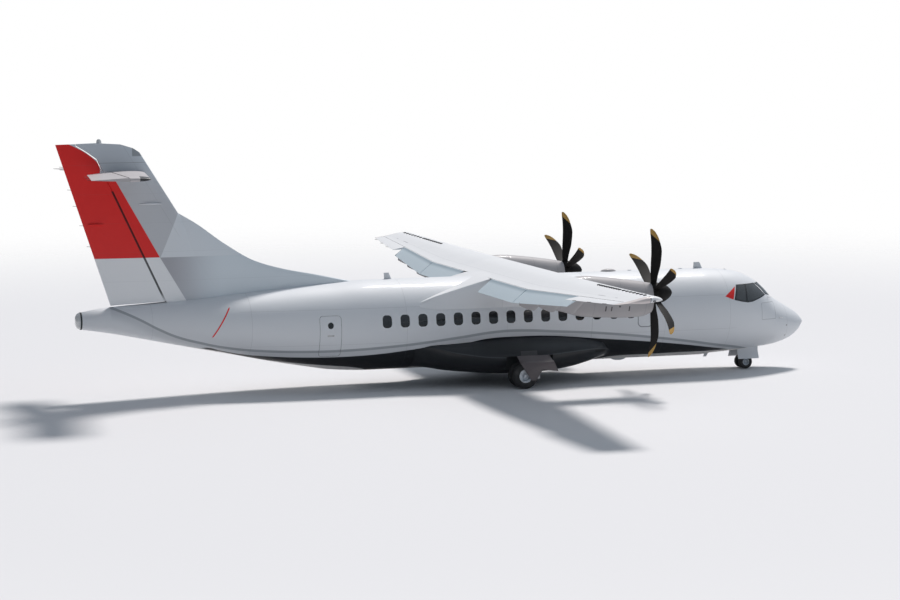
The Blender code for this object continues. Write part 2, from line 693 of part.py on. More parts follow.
def make_propeller(side_name, hub):
    """Six blades in a drum bored for the shaft, and the spinner ahead of them."""
    start = Vector((5.405, hub.y, hub.z))
    end = Vector((5.64, hub.y, hub.z))
    drum = rod(start, end, SPINNER_RADIUS, 32)
    propeller = add_object("propeller_" + side_name, drum, "black_composite")
    blades = []
    for i in range(BLADES):
        phase = BLADE_PHASE + 2 * math.pi * i / BLADES
        blades.append(loft([blade_ring(hub, phase, *row) for row in BLADE]))
    join(propeller, blades)
    bore = rod(start - Vector((0.1, 0, 0)), (5.5803, hub.y, hub.z),
               fit_radius(SHAFT_RADIUS, NOSE_SIDES), NOSE_SIDES)
    boolean(propeller, add_object("propeller_bore_" + side_name, bore), "DIFFERENCE")
    set_pivot(propeller, hub)
    rings = []
    for x, radius in SPINNER:
        turns = [2 * math.pi * i / 32 for i in range(32)]
        rings.append([(x, hub.y + radius * math.cos(t), hub.z + radius * math.sin(t)) for t in turns])
    spinner = add_object("spinner_" + side_name, loft(rings), "black_composite")
    set_pivot(spinner, hub)


def make_gear_fairings(fuselage_cutter):
    """The blisters beside the belly that carry the main gear."""
    for side_name, side in SIDES:
        rings = []
        for x, low_z, wide_z, wide_y, top_z, full in GEAR_FAIRING:
            top, bottom, half_width = table_at(FUSELAGE, x)[1:]
            middle = (top + bottom) / 2
            start = math.asin(0.55 / half_width)
            end = math.acos((middle - wide_z) / half_width)
            ring = [(SKIN_GAP / 2, bottom + (low_z - bottom) * full)]
            for i in range(6):
                turn = math.radians(90 * i / 5)
                skin = start + (end - start) * i / 5
                y = 0.55 + (wide_y - 0.55) * math.sin(turn)
                z = wide_z - (wide_z - low_z) * math.cos(turn)
                skin_y_here = half_width * math.sin(skin)
                skin_z_here = middle - half_width * math.cos(skin)
                ring.append((skin_y_here + (y - skin_y_here) * full, skin_z_here + (z - skin_z_here) * full))
            rise = top_z - wide_z
            inner_y = min(1.30, wide_y - 0.06)
            ring.append((wide_y - 0.04, wide_z + rise * 0.35))
            ring.append((wide_y * 0.45 + inner_y * 0.55, wide_z + rise * 0.80))
            ring += [(inner_y - 0.10, top_z), (0.60, top_z), (SKIN_GAP / 2, low_z + 0.30)]
            rings.append([(x, side * y, z) for y, z in ring])
        fairing = add_object("gear_fairing_" + side_name, loft(rings), "charcoal_paint")
        boolean(fairing, fuselage_cutter, "DIFFERENCE")
        low_y, high_y = sorted((side * 1.60, side * 2.40))
        bay = box((1.40, low_y, 0.0), (2.95, high_y, MAIN_BAY_ROOF))
        boolean(fairing, add_object("main_bay_" + side_name, bay), "DIFFERENCE")


def make_main_gear():
    """Legs with their trailing arms, leg doors, and twin wheels."""
    for side_name, side in SIDES:
        top = flip(LEG_TOP, side)
        foot = flip(LEG_FOOT, side)
        hub = flip(MAIN_HUB, side)
        plate = box(top - Vector((0.2, 0.1, 0.06)), top + Vector((0.2, 0.1, -SKIN_GAP)))
        leg = add_object("main_leg_" + side_name, plate, "gear_steel")
        across = Vector((0.0, 1.0, 0.0))
        shock_foot = hub.lerp(foot, 0.42)
        shock_top = flip((2.43, 2.04, 0.82), side)
        link = top.lerp(foot, 0.45)
        door_y = side * (LEG_DOOR_Y - SKIN_GAP)
        join(leg, [
            rod(top - Vector((0.0, 0.0, 0.04)), foot, 0.065),
            rod(foot - across * 0.07, foot + across * 0.07, 0.075),
            rod(foot, hub, 0.05, 12),
            rod(hub - across * 0.06, hub + across * 0.06, 0.085, NOSE_SIDES),
            rod(shock_foot, shock_top, 0.036, 12),
            rod(shock_top + Vector((0.0, 0.0, 0.01)), top.lerp(foot, 0.28), 0.040, 12),
            rod(link, (link.x, door_y, link.z), 0.022, 12),
        ])
        bore = rod(hub - across * 0.2, hub + across * 0.2, fit_radius(AXLE_RADIUS, NOSE_SIDES), NOSE_SIDES)
        boolean(leg, add_object("main_axle_bore_" + side_name, bore), "DIFFERENCE")
        make_leg_door(side_name, side)
        make_wheels("main_%s_" % side_name, hub, MAIN_WHEEL)


def make_leg_door(side_name, side):
    """The bent plate outside the leg, wide above and narrow beside the wheel."""
    knee = 0.82
    bend = [
        (LEG_DOOR_Y, 0.20), (LEG_DOOR_Y, knee), (1.995, 0.992), (2.003, 1.009),
        (LEG_DOOR_Y + LEG_DOOR_THICKNESS, knee + 0.014), (LEG_DOOR_Y + LEG_DOOR_THICKNESS, 0.20),
    ]
    sheet = prism_x([(side * y, z) for y, z in bend], 1.60, 3.10)
    plate = add_object("main_leg_door_" + side_name, sheet, "gear_steel")
    outline = ((1.73, 1.10), (1.70, 0.83), (2.07, 0.27), (2.22, 0.26), (2.44, 0.60), (2.96, 0.53),
               (2.80, 0.90), (2.80, 1.10))
    low_y, high_y = sorted((side * 1.5, side * 2.6))
    shape = add_object("leg_door_outline_" + side_name, prism_y(outline, low_y, high_y))
    boolean(plate, shape, "INTERSECT")


def make_wheels(prefix, hub, wheel):
    """Twin tyres, and one hub piece whose sleeve runs through the leg's eye."""
    radius, width, spacing, rim = wheel
    half = width / 2
    flat = radius / math.cos(math.pi / WHEEL_SIDES)
    shoulder = radius * 0.86
    tyre = (
        (rim, -half * 0.80), (shoulder, -half), (radius * 0.98, -half * 0.66), (flat, -half * 0.30),
        (flat, half * 0.30), (radius * 0.98, half * 0.66), (shoulder, half), (rim, half * 0.80),
    )
    inboard = -1 if hub.y >= 0 else 1
    for place, sign in (("inner", inboard), ("outer", -inboard)):
        if hub.y == 0.0:
            place = "right" if sign < 0 else "left"
        centre = hub + Vector((0.0, sign * spacing / 2, 0.0))
        body = turned_y(tyre, centre, WHEEL_SIDES)
        set_pivot(add_object(prefix + "tyre_" + place, body, "rubber"), hub)
    edge = rim - SKIN_GAP
    near = spacing / 2 - half * 0.80
    far = spacing / 2 + half * 0.80
    dish = rim * 0.72
    rings = (
        (dish, -far + 0.03), (edge, -far), (edge, -near), (AXLE_RADIUS, -near),
        (AXLE_RADIUS, near), (edge, near), (edge, far), (dish, far - 0.03),
    )
    rows = []
    for r, y in rings:
        turns = [2 * math.pi * (i + 0.5) / WHEEL_SIDES for i in range(WHEEL_SIDES)]
        rows.append([(hub.x + r * math.cos(t), hub.y + y, hub.z + r * math.sin(t)) for t in turns])
    set_pivot(add_object(prefix + "hub", loft(rows), "wheel_alloy"), hub)


def make_nose_gear(fuselage_cutter):
    """Nose leg, its turning piston, twin wheels and the two side doors."""
    hub = NOSE_HUB
    up = Vector((0.0, 0.0, 1.0))
    roof = NOSE_BAY[1][2]
    base = Vector((hub.x, 0.0, roof))
    plate = box(base - Vector((0.12, 0.12, 0.05)), base + Vector((0.12, 0.12, -SKIN_GAP)))
    leg = add_object("nose_leg", plate, "gear_steel")
    join(leg, [
        rod(base - up * 0.03, (hub.x, 0.0, 0.50), 0.065, NOSE_SIDES),
        rod((hub.x, 0.0, 0.78), (10.72, 0.0, roof - 0.06), 0.03, 12),
        box((10.66, -0.08, roof - 0.10), (10.78, 0.08, roof - SKIN_GAP)),
    ])
    bore_radius = fit_radius(NOSE_PISTON_RADIUS, NOSE_SIDES)
    bore = rod((hub.x, 0.0, 0.30), (hub.x, 0.0, 0.78), bore_radius, NOSE_SIDES)
    boolean(leg, add_object("nose_leg_bore", bore), "DIFFERENCE")
    piston = rod((hub.x, 0.0, 0.24), (hub.x, 0.0, 0.7797), NOSE_PISTON_RADIUS, NOSE_SIDES)
    fork = add_object("nose_fork", piston, "gear_steel")
    across = Vector((0.0, 1.0, 0.0))
    join(fork, [rod(hub - across * 0.055, hub + across * 0.055, 0.075, NOSE_SIDES)])
    bore = rod(hub - across * 0.2, hub + across * 0.2, fit_radius(AXLE_RADIUS, NOSE_SIDES), NOSE_SIDES)
    boolean(fork, add_object("nose_axle_bore", bore), "DIFFERENCE")
    set_pivot(fork, hub)
    make_wheels("nose_", hub, NOSE_WHEEL)
    for side_name, side in SIDES:
        outline = ((0.302, 0.86), (0.302, 0.62), (0.42, 0.36), (0.434, 0.36), (0.318, 0.62), (0.318, 0.86))
        sheet = prism_x([(side * y, z) for y, z in outline], 10.02, 10.76)
        door = add_object("nose_gear_door_" + side_name, sheet, "white_paint")
        boolean(door, fuselage_cutter, "DIFFERENCE")


def along_line(line, z):
    """The x of a side-view line at a height."""
    (x0, z0), (x1, z1) = line
    return x0 + (x1 - x0) * (z - z0) / (z1 - z0)


FIN_PARTS = (1.0, 0.84, 0.70, 0.57, 0.42, 0.28, 0.15, 0.06, 0.015)


def fin_ring(z):
    """The whole fin and rudder section at a height."""
    lead = along_line(FIN_LEAD, z)
    chord = lead - along_line(FIN_TRAIL, z)
    halves = [max(half_thickness(part, FIN_THICKNESS) * chord, 0.006) for part in FIN_PARTS]
    port = [(lead - part * chord, half, z) for part, half in zip(FIN_PARTS, halves)]
    starboard = [(x, -half, z) for x, half, z in port[::-1]]
    return port + [(lead, 0.0, z)] + starboard


def make_fin(fuselage_cutter):
    """Fin with its dorsal fillet, and the rudder on its slanted hinge."""
    low, high = RUDDER_AXIS
    fin = add_object("fin", loft([fin_ring(2.40), fin_ring(8.00)], split=True), "red_paint")
    side_view = ((-2.0, 2.0), (-2.0, 7.37)) + FIN_TOP + FIN_REAR
    boolean(fin, add_object("fin_outline", prism_y(side_view, -0.5, 0.5)), "INTERSECT")
    join(fin, [prism_y(DORSAL, -DORSAL_HALF_THICKNESS, DORSAL_HALF_THICKNESS)])
    for i, share in enumerate((0.12, 0.5, 0.88)):
        centre = low.lerp(high, share)
        radius = RUDDER_RADIUS[0] + (RUDDER_RADIUS[1] - RUDDER_RADIUS[0]) * share
        corner = Vector((radius * 0.80, -radius * 0.5, -0.04))
        other = Vector((radius * 1.10 + 0.06, radius * 0.5, 0.04))
        boolean(fin, add_object("rudder_bracket_%d" % i, box(centre + corner, centre + other)), "UNION")
    boolean(fin, fuselage_cutter, "DIFFERENCE")
    start = low.lerp(high, -0.15)
    nose_radius = RUDDER_RADIUS[0] + (RUDDER_RADIUS[0] - RUDDER_RADIUS[1]) * 0.15
    seat = rod(start, high, fit_radius(nose_radius, NOSE_SIDES), NOSE_SIDES,
               fit_radius(RUDDER_RADIUS[1], NOSE_SIDES), True)
    boolean(fin, add_object("rudder_seat", seat), "DIFFERENCE")
    rudder = add_object("rudder", loft([fin_ring(2.40), fin_ring(8.00)], split=True), "light_composite")
    boolean(rudder, add_object("rudder_outline", prism_y(RUDDER_SIDE, -0.5, 0.5)), "INTERSECT")
    nose = rod(start, high.lerp(low, 0.01), nose_radius, NOSE_SIDES, RUDDER_RADIUS[1] + 0.0004)
    boolean(rudder, add_object("rudder_nose", nose), "UNION")
    foot = add_object("rudder_foot", fuselage_shape(FUSELAGE[0][0], -6.0, RUDDER_FOOT_GAP))
    boolean(rudder, foot, "DIFFERENCE")
    set_pivot(rudder, low.lerp(high, 0.5))
    return fin


def tailplane_ring(y, side, grow=0.0, shrink=1.0):
    """One tailplane section."""
    share = y / TAILPLANE_HALF_SPAN
    lead, trail, thickness = [a + (b - a) * share for a, b in zip(TAILPLANE_ROOT, TAILPLANE_TIP)]
    chord = lead - trail
    upper = []
    for part in FIN_PARTS:
        half = max(half_thickness(part, thickness) * chord, EDGE) * shrink + grow
        upper.append((lead - part * chord, side * y, TAILPLANE_Z + half))
    lower = [(x, y, 2 * TAILPLANE_Z - z) for x, y, z in upper[::-1]]
    return upper + [(lead + grow, side * y, TAILPLANE_Z)] + lower


def elevator_ring(y, side, slant):
    """One elevator end, cut on a slant where it clears the rudder."""
    share = y / TAILPLANE_HALF_SPAN
    trail = TAILPLANE_ROOT[1] + (TAILPLANE_TIP[1] - TAILPLANE_ROOT[1]) * share
    radius = ELEVATOR_RADIUS[0] + (ELEVATOR_RADIUS[1] - ELEVATOR_RADIUS[0]) * share
    length = ELEVATOR_AXIS_X - trail
    points = nose_arc(radius) + [(-length, -EDGE), (-length, EDGE)]
    return [
        (ELEVATOR_AXIS_X + forward, side * (y - slant * forward), TAILPLANE_Z + up)
        for forward, up in points
    ]


def make_tailplane(fin):
    """The tailplane through the fin's slot, and the elevators."""
    tip = TAILPLANE_HALF_SPAN
    rows = [(tip, 0.5), (tip - 0.07, 1.0), (0.0, 1.0)]
    rings = [tailplane_ring(y, -1, shrink=s) for y, s in rows]
    rings += [tailplane_ring(y, 1, shrink=s) for y, s in rows[1::-1]]
    tailplane = add_object("tailplane", loft(rings), "red_paint")
    ends = [tailplane_ring(y, side, SKIN_GAP) for y, side in ((1.0, -1), (0.0, 1), (1.0, 1))]
    slot = add_object("tailplane_slot", loft(ends))
    front = ELEVATOR_AXIS_X + ELEVATOR_RADIUS[0] + SURFACE_GAP
    bay = add_object("elevator_bay", box((-13.0, -4.0, 6.0), (front, 4.0, 8.0)))
    boolean(tailplane, bay, "DIFFERENCE")
    slot_end = add_object("slot_end", box((-13.0, -4.0, 6.0), (front - SKIN_GAP, 4.0, 8.0)))
    boolean(slot, slot_end, "DIFFERENCE")
    boolean(fin, slot, "DIFFERENCE")
    for side_name, side in SIDES:
        for i, y in enumerate((0.55, 1.95, 3.25)):
            radius = ELEVATOR_RADIUS[0]
            low_y, high_y = sorted((side * (y - 0.025), side * (y + 0.025)))
            low = (ELEVATOR_AXIS_X + radius * 0.6, low_y, TAILPLANE_Z - radius * 0.5)
            high = (front + 0.03, high_y, TAILPLANE_Z + radius * 0.5)
            bracket = add_object("elevator_bracket_%s_%d" % (side_name, i), box(low, high))
            boolean(tailplane, bracket, "UNION")
        radii = [fit_radius(radius, NOSE_SIDES) for radius in ELEVATOR_RADIUS]
        start = (ELEVATOR_AXIS_X, 0.0, TAILPLANE_Z)
        end = (ELEVATOR_AXIS_X, side * tip, TAILPLANE_Z)
        seat = rod(start, end, radii[0], NOSE_SIDES, radii[1])
        boolean(tailplane, add_object("elevator_seat_" + side_name, seat), "DIFFERENCE")
        rings = [elevator_ring(0.16, side, 0.50), elevator_ring(tip, side, 0.0)]
        elevator = add_object("elevator_" + side_name, loft(rings), "light_composite")
        set_pivot(elevator, (ELEVATOR_AXIS_X, side * tip / 2, TAILPLANE_Z))


def main():
    for obj in list(bpy.data.objects):
        bpy.data.objects.remove(obj, do_unlink=True)
    whole = fuselage_shape(FUSELAGE[0][0] - 1e-7, FUSELAGE[-1][0], SKIN_GAP)
    fuselage_cutter = add_object("fuselage_cutter", whole)
    wing_cutter = make_wing_cutter()
    make_fuselage(wing_cutter)
    make_antennas(fuselage_cutter)
    make_wing()
    make_wing_fairing(fuselage_cutter, wing_cutter)
    make_nacelles(wing_cutter)
    make_gear_fairings(fuselage_cutter)
    make_main_gear()
    make_nose_gear(fuselage_cutter)
    fin = make_fin(fuselage_cutter)
    make_tailplane(fin)
    for obj in bpy.data.objects:
        obj.location.x += DATUM_X


main()
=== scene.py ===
import math

import bmesh
import bpy
from mathutils import Matrix, Vector


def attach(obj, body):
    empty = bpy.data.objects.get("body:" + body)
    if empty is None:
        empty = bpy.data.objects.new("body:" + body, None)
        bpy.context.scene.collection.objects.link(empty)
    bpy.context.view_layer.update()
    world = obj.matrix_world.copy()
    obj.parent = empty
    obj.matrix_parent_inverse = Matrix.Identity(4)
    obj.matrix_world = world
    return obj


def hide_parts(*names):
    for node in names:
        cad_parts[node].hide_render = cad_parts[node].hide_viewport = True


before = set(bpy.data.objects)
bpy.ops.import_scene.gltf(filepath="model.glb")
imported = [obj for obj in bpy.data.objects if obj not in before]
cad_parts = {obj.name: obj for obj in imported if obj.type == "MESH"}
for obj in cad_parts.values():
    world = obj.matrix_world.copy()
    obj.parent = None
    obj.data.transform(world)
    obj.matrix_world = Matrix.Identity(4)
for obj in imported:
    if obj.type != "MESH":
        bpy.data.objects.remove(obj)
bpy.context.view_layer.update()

datumX = -0.053        # the tables' frame against the row frame, as in the CAD source
sides = (("left", 1), ("right", -1))
weldDistance = 0.00005
scene = bpy.context.scene
scene.view_settings.view_transform = "Standard"


# shader maths

class Value:
    # one socket of a node tree; sums on it add Math nodes
    def __init__(self, tree, socket):
        self.tree = tree
        self.socket = socket

    def maths(self, operation, *others):
        sockets = dict(enumerate((self,) + others))
        return self.tree.put("ShaderNodeMath", {"operation": operation}, sockets)

    def __add__(self, other):
        return self.maths("ADD", other)

    def __radd__(self, other):
        return self.maths("ADD", other)

    def __sub__(self, other):
        return self.maths("SUBTRACT", other)

    def __rsub__(self, other):
        return (self * -1.0) + other

    def __mul__(self, other):
        return self.maths("MULTIPLY", other)

    def __rmul__(self, other):
        return self.maths("MULTIPLY", other)

    def __truediv__(self, other):
        return self.maths("DIVIDE", other)

    def __abs__(self):
        return self.maths("ABSOLUTE")

    def __mod__(self, other):
        return self.maths("PINGPONG", other)

    def least(self, other):
        return self.maths("MINIMUM", other)

    def most(self, other):
        return self.maths("MAXIMUM", other)

    def rise(self, low, high):
        # 0 below low, 1 above high, smooth between; low above high gives a fall
        flip = low > high
        start, end = (high, low) if flip else (low, high)
        values = {0: self, 1: start, 2: end, 3: 1.0 if flip else 0.0, 4: 0.0 if flip else 1.0}
        return self.tree.put("ShaderNodeMapRange", {"interpolation_type": "SMOOTHSTEP"}, values)

    def band(self, middle, half, soft=0.003):
        # 1 within half of the middle
        return abs(self - middle).rise(half + soft, half)

    def curve(self, points, low, high, scale):
        # a smooth curve through (value, result) points
        spots = [((a - low) / (high - low), b / scale) for a, b in points]
        share = (self - low) / (high - low)
        return self.tree.put("ShaderNodeFloatCurve", {"spots": spots}, {1: share}) * scale


class Tree:
    # a node tree; every node comes from put()
    def __init__(self, tree):
        self.nodes, self.links = tree.nodes, tree.links

    def put(self, kind, settings=None, sockets=None, out=0):
        node = self.nodes.new(kind)
        for key, value in (settings or {}).items():
            if key == "stops":
                ramp = node.color_ramp.elements
                for spot, colour in value[2:]:
                    ramp.new(spot)
                for step, (spot, colour) in zip(ramp, value):
                    step.position = spot
                    step.color = (*colour, 1.0)
            elif key == "spots":
                curve = node.mapping.curves[0]
                for spot in value[1:-1]:
                    curve.points.new(*spot)
                curve.points[0].location = value[0]
                curve.points[-1].location = value[-1]
                node.mapping.update()
            else:
                setattr(node, key, value)
        for key, value in (sockets or {}).items():
            self.join(node.inputs[key], value)
        return Value(self, node.outputs[out]) if node.outputs else None

    def join(self, socket, value):
        if isinstance(value, Value):
            self.links.new(value.socket, socket)
        else:
            socket.default_value = value

    def axes(self, place):
        split = self.put("ShaderNodeSeparateXYZ", None, {0: place})
        return [Value(self, socket) for socket in split.socket.node.outputs]


class Finish(Tree):
    # one procedural material
    def __init__(self, name, colour, roughness=0.4, metallic=0.0, coat=0.0):
        self.material = bpy.data.materials.new(name)
        self.material.use_nodes = True
        super().__init__(self.material.node_tree)
        self.shader = self.nodes["Principled BSDF"]
        self.use("Base Color", (*colour, 1.0))
        self.use("Roughness", roughness)
        self.use("Metallic", metallic)
        self.use("Coat Weight", coat)
        self.use("Coat Roughness", 0.06)
        self.place = self.put("ShaderNodeTexCoord", out="Object")
        x, self.y, self.z = self.axes(self.place)
        self.x = x - datumX

    def use(self, name, value):
        self.join(self.shader.inputs[name], value)

    def mix(self, mask, below, above):
        below, above = [(*c, 1.0) if isinstance(c, tuple) else c for c in (below, above)]
        return self.put("ShaderNodeMix", {"data_type": "RGBA"}, {0: mask, 6: below, 7: above}, 2)

    def noise(self, scale, detail=3.0, stretch=None):
        place = self.place
        if stretch:
            place = self.put("ShaderNodeMapping", None, {"Vector": self.place, "Scale": stretch})
        return self.put("ShaderNodeTexNoise", None, {"Vector": place, "Scale": scale, "Detail": detail})

    def bump(self, height, distance):
        sockets = {"Height": height, "Distance": distance, "Strength": 1.0}
        self.use("Normal", self.put("ShaderNodeBump", None, sockets))


# modelling

def smoothRows(rows):
    # a smooth curve without overshoot through every column of a table, by its first
    spots = [row[0] for row in rows]
    last = len(rows) - 1
    tangents = []
    for k in range(1, len(rows[0])):
        steps = [(rows[i + 1][k] - rows[i][k]) / (spots[i + 1] - spots[i]) for i in range(last)]
        column = [steps[0]]
        for i in range(1, last):
            a, b = steps[i - 1], steps[i]
            if a * b <= 0:
                column.append(0.0)
            else:
                wide, narrow = spots[i + 1] - spots[i], spots[i] - spots[i - 1]
                first, second = 2 * wide + narrow, wide + 2 * narrow
                column.append((first + second) / (first / a + second / b))
        tangents.append(column + [steps[-1]])

    def at(x):
        x = min(max(x, spots[0]), spots[-1])
        i = next((n for n in range(last) if x <= spots[n + 1]), last - 1)
        width = spots[i + 1] - spots[i]
        t = (x - spots[i]) / width
        low = 1 - t * t * (3 - 2 * t)
        values = []
        for k, column in enumerate(tangents, 1):
            lean = t * (1 - t) ** 2 * column[i] - t * t * (1 - t) * column[i + 1]
            values.append(rows[i][k] * low + rows[i + 1][k] * (1 - low) + lean * width)
        return values

    return at


def closed(bm):
    bmesh.ops.holes_fill(bm, edges=[e for e in bm.edges if e.is_boundary])
    return bm


def sheetOf(place, around, along, blunt=False):
    # a grid wrapped round a surface, its ends closed; place takes two shares from 0 to 1
    # blunt closes the gap between the first and the last line with a strip
    bm = bmesh.new()
    bmesh.ops.create_grid(bm, x_segments=around, y_segments=along, size=0.5)
    for vert in bm.verts:
        step = round((vert.co.x + 0.5) * around) % around
        vert.co = place(step / (around - 1 if blunt else around), min(max(vert.co.y + 0.5, 0.0), 1.0))
    bmesh.ops.remove_doubles(bm, verts=bm.verts, dist=weldDistance)
    bmesh.ops.recalc_face_normals(closed(bm), faces=bm.faces)
    return bm


def alongSpots(spots):
    # a share from 0 to 1 taken along a list of places
    def at(share):
        step = share * (len(spots) - 1)
        i = min(int(step), len(spots) - 2)
        return spots[i] + (spots[i + 1] - spots[i]) * (step - i)
    return at


def between(rows, share):
    # a place between the first and the last row of a table
    return rows[0][0] + (rows[-1][0] - rows[0][0]) * share


def rounded(points, rounds=3):
    # corners cut again and again into a smooth path
    path = [Vector(p) for p in points]
    for turn in range(rounds):
        cut = [path[0]]
        for a, b in zip(path, path[1:]):
            cut += [a.lerp(b, 0.25), a.lerp(b, 0.75)]
        path = cut + [path[-1]]
    return path


def bevelled(bm, edges, width):
    if width:
        bmesh.ops.bevel(bm, geom=edges, offset=width, offset_type="OFFSET", affect="EDGES",
                        segments=2, profile=0.5, material=-1, clamp_overlap=True)
    return bm


def trimmed(bm, point, normal):
    # keeps what lies behind a plane
    bmesh.ops.bisect_plane(bm, geom=bm.verts[:] + bm.edges[:] + bm.faces[:], dist=1e-6,
                           plane_co=point, plane_no=normal, clear_outer=True)
    return bm


def tinted(bm, index):
    # gives every face one of the piece's finishes
    for face in bm.faces:
        face.material_index = index
    return bm


def block(low, high, bevel=0.0):
    bm = bmesh.new()
    bmesh.ops.create_cube(bm, size=1.0)
    bmesh.ops.scale(bm, vec=Vector(high) - Vector(low), verts=bm.verts)
    bmesh.ops.translate(bm, vec=(Vector(high) + Vector(low)) / 2, verts=bm.verts)
    return bevelled(bm, bm.edges[:], bevel)


def rod(start, end, radius, sidesOf=24, endRadius=None, bevel=0.0):
    start, end = Vector(start), Vector(end)
    bm = bmesh.new()
    bmesh.ops.create_cone(bm, cap_ends=True, segments=sidesOf, radius1=radius,
                          radius2=radius if endRadius is None else endRadius,
                          depth=(end - start).length)
    bevelled(bm, [e for e in bm.edges if abs(e.verts[0].co.z - e.verts[1].co.z) < 1e-6], bevel)
    turn = (end - start).to_track_quat("Z", "Y").to_matrix().to_4x4()
    bmesh.ops.transform(bm, matrix=Matrix.Translation((start + end) / 2) @ turn, verts=bm.verts)
    return bm


def turned(profile, centre, axis, steps=48):
    # a profile of (radius, distance along the axis) spun about it
    centre, axis = Vector(centre), Vector(axis)
    out = axis.orthogonal().normalized()
    bm = bmesh.new()
    path = [bm.verts.new(centre + out * r + axis * d) for r, d in profile]
    edges = [bm.edges.new(pair) for pair in zip(path, path[1:])]
    bmesh.ops.spin(bm, geom=path + edges, cent=centre, axis=axis, angle=math.tau, steps=steps,
                   use_merge=True)
    bmesh.ops.remove_doubles(bm, verts=bm.verts, dist=weldDistance)
    bmesh.ops.recalc_face_normals(bm, faces=bm.faces)
    return bm


def prism(outline, plane, low, high):
    # an outline run along the axis that its plane leaves out
    bm = bmesh.new()
    make = {"xz": lambda a, b, c: (a, c, b), "yz": lambda a, b, c: (c, a, b)}
    ring = [bm.verts.new(make[plane](a, b, low)) for a, b in outline]
    face = bm.faces.new(ring)
    lifted = bmesh.ops.extrude_face_region(bm, geom=[face])
    moved = [v for v in lifted["geom"] if isinstance(v, bmesh.types.BMVert)]
    bmesh.ops.translate(bm, vec=Vector(make[plane](0, 0, high - low)), verts=moved)
    bmesh.ops.recalc_face_normals(bm, faces=bm.faces)
    return bm


def roundBox(lowA, lowB, highA, highB, lowRadius, highRadius=None):
    # the outline of a box with round corners
    highRadius = lowRadius if highRadius is None else highRadius
    steps = 6
    points = []
    corners = ((highA, highB, highRadius, 0), (lowA, highB, highRadius, 90),
               (lowA, lowB, lowRadius, 180), (highA, lowB, lowRadius, 270))
    for a, b, radius, start in corners:
        inA = a - radius if a == highA else a + radius
        inB = b - radius if b == highB else b + radius
        for i in range(steps + 1):
            angle = math.radians(start + 90 * i / steps)
            points.append((inA + radius * math.cos(angle), inB + radius * math.sin(angle)))
    return points


def gather(shapes):
    # several shapes in one mesh
    whole = bmesh.new()
    for bm in shapes:
        mesh = bpy.data.meshes.new("part")
        bm.to_mesh(mesh)
        bm.free()
        whole.from_mesh(mesh)
        bpy.data.meshes.remove(mesh)
    return whole


def mirrored(bm, side):
    # a shape, or its mirror image across the middle where side is -1
    if side < 0:
        bmesh.ops.scale(bm, vec=(1, -1, 1), verts=bm.verts)
        bmesh.ops.reverse_faces(bm, faces=bm.faces)
    return bm


def asObject(name, bm, finishes):
    mesh = bpy.data.meshes.new(name)
    bm.to_mesh(mesh)
    bm.free()
    for finish in finishes:
        mesh.materials.append(finish.material)
    obj = bpy.data.objects.new(name, mesh)
    scene.collection.objects.link(obj)
    return obj


def carve(bm, tools, finishes, operation="DIFFERENCE"):
    # an exact Boolean with each tool, which comes with the number of the finish that it leaves
    body = asObject("carved", bm, finishes)
    helpers = []
    for tool, index in tools:
        helper = asObject("tool", tinted(tool, index), finishes)
        step = body.modifiers.new("cut", "BOOLEAN")
        step.operation = operation
        step.solver = "EXACT"
        step.object = helper
        helpers.append(helper)
    ready = body.evaluated_get(bpy.context.evaluated_depsgraph_get())
    result = bmesh.new()
    result.from_mesh(ready.to_mesh())
    ready.to_mesh_clear()
    for obj in [body] + helpers:
        mesh = obj.data
        bpy.data.objects.remove(obj)
        bpy.data.meshes.remove(mesh)
    return result


def makePiece(name, bm, finishes, body, stands=(), sharp=35.0):
    # a finished piece: moved to the row frame, smooth shaded, riding on its body
    bmesh.ops.translate(bm, vec=(datumX, 0, 0), verts=bm.verts)
    finishes = finishes if isinstance(finishes, (list, tuple)) else [finishes]
    obj = asObject(name, bm, finishes)
    obj.data.shade_smooth()
    obj.data.set_sharp_from_angle(angle=math.radians(sharp))
    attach(obj, body)
    if stands:
        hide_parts(*stands)
    return obj


# shapes that several pieces share

hull = {
    "rows": (
        (-11.740, 2.690, 2.170, 0.255), (-10.900, 2.820, 2.030, 0.400), (-9.570, 2.900, 1.750, 0.640),
        (-8.320, 2.990, 1.480, 0.880), (-7.050, 3.090, 1.215, 1.090), (-5.780, 3.190, 0.940, 1.260),
        (-4.700, 3.275, 0.735, 1.352), (-3.800, 3.335, 0.592, 1.408), (-2.600, 3.3975, 0.5325, 1.4325),
        (8.640, 3.3975, 0.5325, 1.4325), (9.100, 3.375, 0.580, 1.415), (9.520, 3.345, 0.605, 1.380),
        (10.060, 3.250, 0.640, 1.300), (10.600, 3.010, 0.690, 1.170), (10.900, 2.760, 0.725, 1.080),
        (11.180, 2.470, 0.760, 0.980), (11.540, 2.240, 0.830, 0.820), (11.900, 2.030, 0.950, 0.620),
        (12.200, 1.840, 1.130, 0.400), (12.400, 1.660, 1.330, 0.190), (12.486, 1.560, 1.450, 0.070),
    ),
    "around": 120, "wall": 0.06, "floor": 1.15,
    "tail": -11.74, "nose": 12.486, "tip": 12.50, "tipZ": 1.505,
    "cabin": (-6.30, -1.70),    # the room behind the passenger door
    "hold": ((7.35, -0.30, 1.15), (8.565, 1.05, 2.62)),
    "noseBay": ((10.00, -0.30, 0.0), (10.85, 0.30, 1.15)),
}
hullAt = smoothRows(hull["rows"])


def hullPoint(x, turn, grow=0.0):
    # a point of the skin; turn goes from the crown over port
    top, bottom, wide = hullAt(x)
    y = (wide + grow) * math.sin(turn)
    return Vector((x, y, (top + bottom) / 2 + ((top - bottom) / 2 + grow) * math.cos(turn)))


def skinY(x, z, grow=0.0):
    # half width of the skin at a station and height
    top, bottom, wide = hullAt(x)
    share = (z - (top + bottom) / 2) / ((top - bottom) / 2 + grow)
    return (wide + grow) * math.sqrt(max(0.0, 1 - share * share))


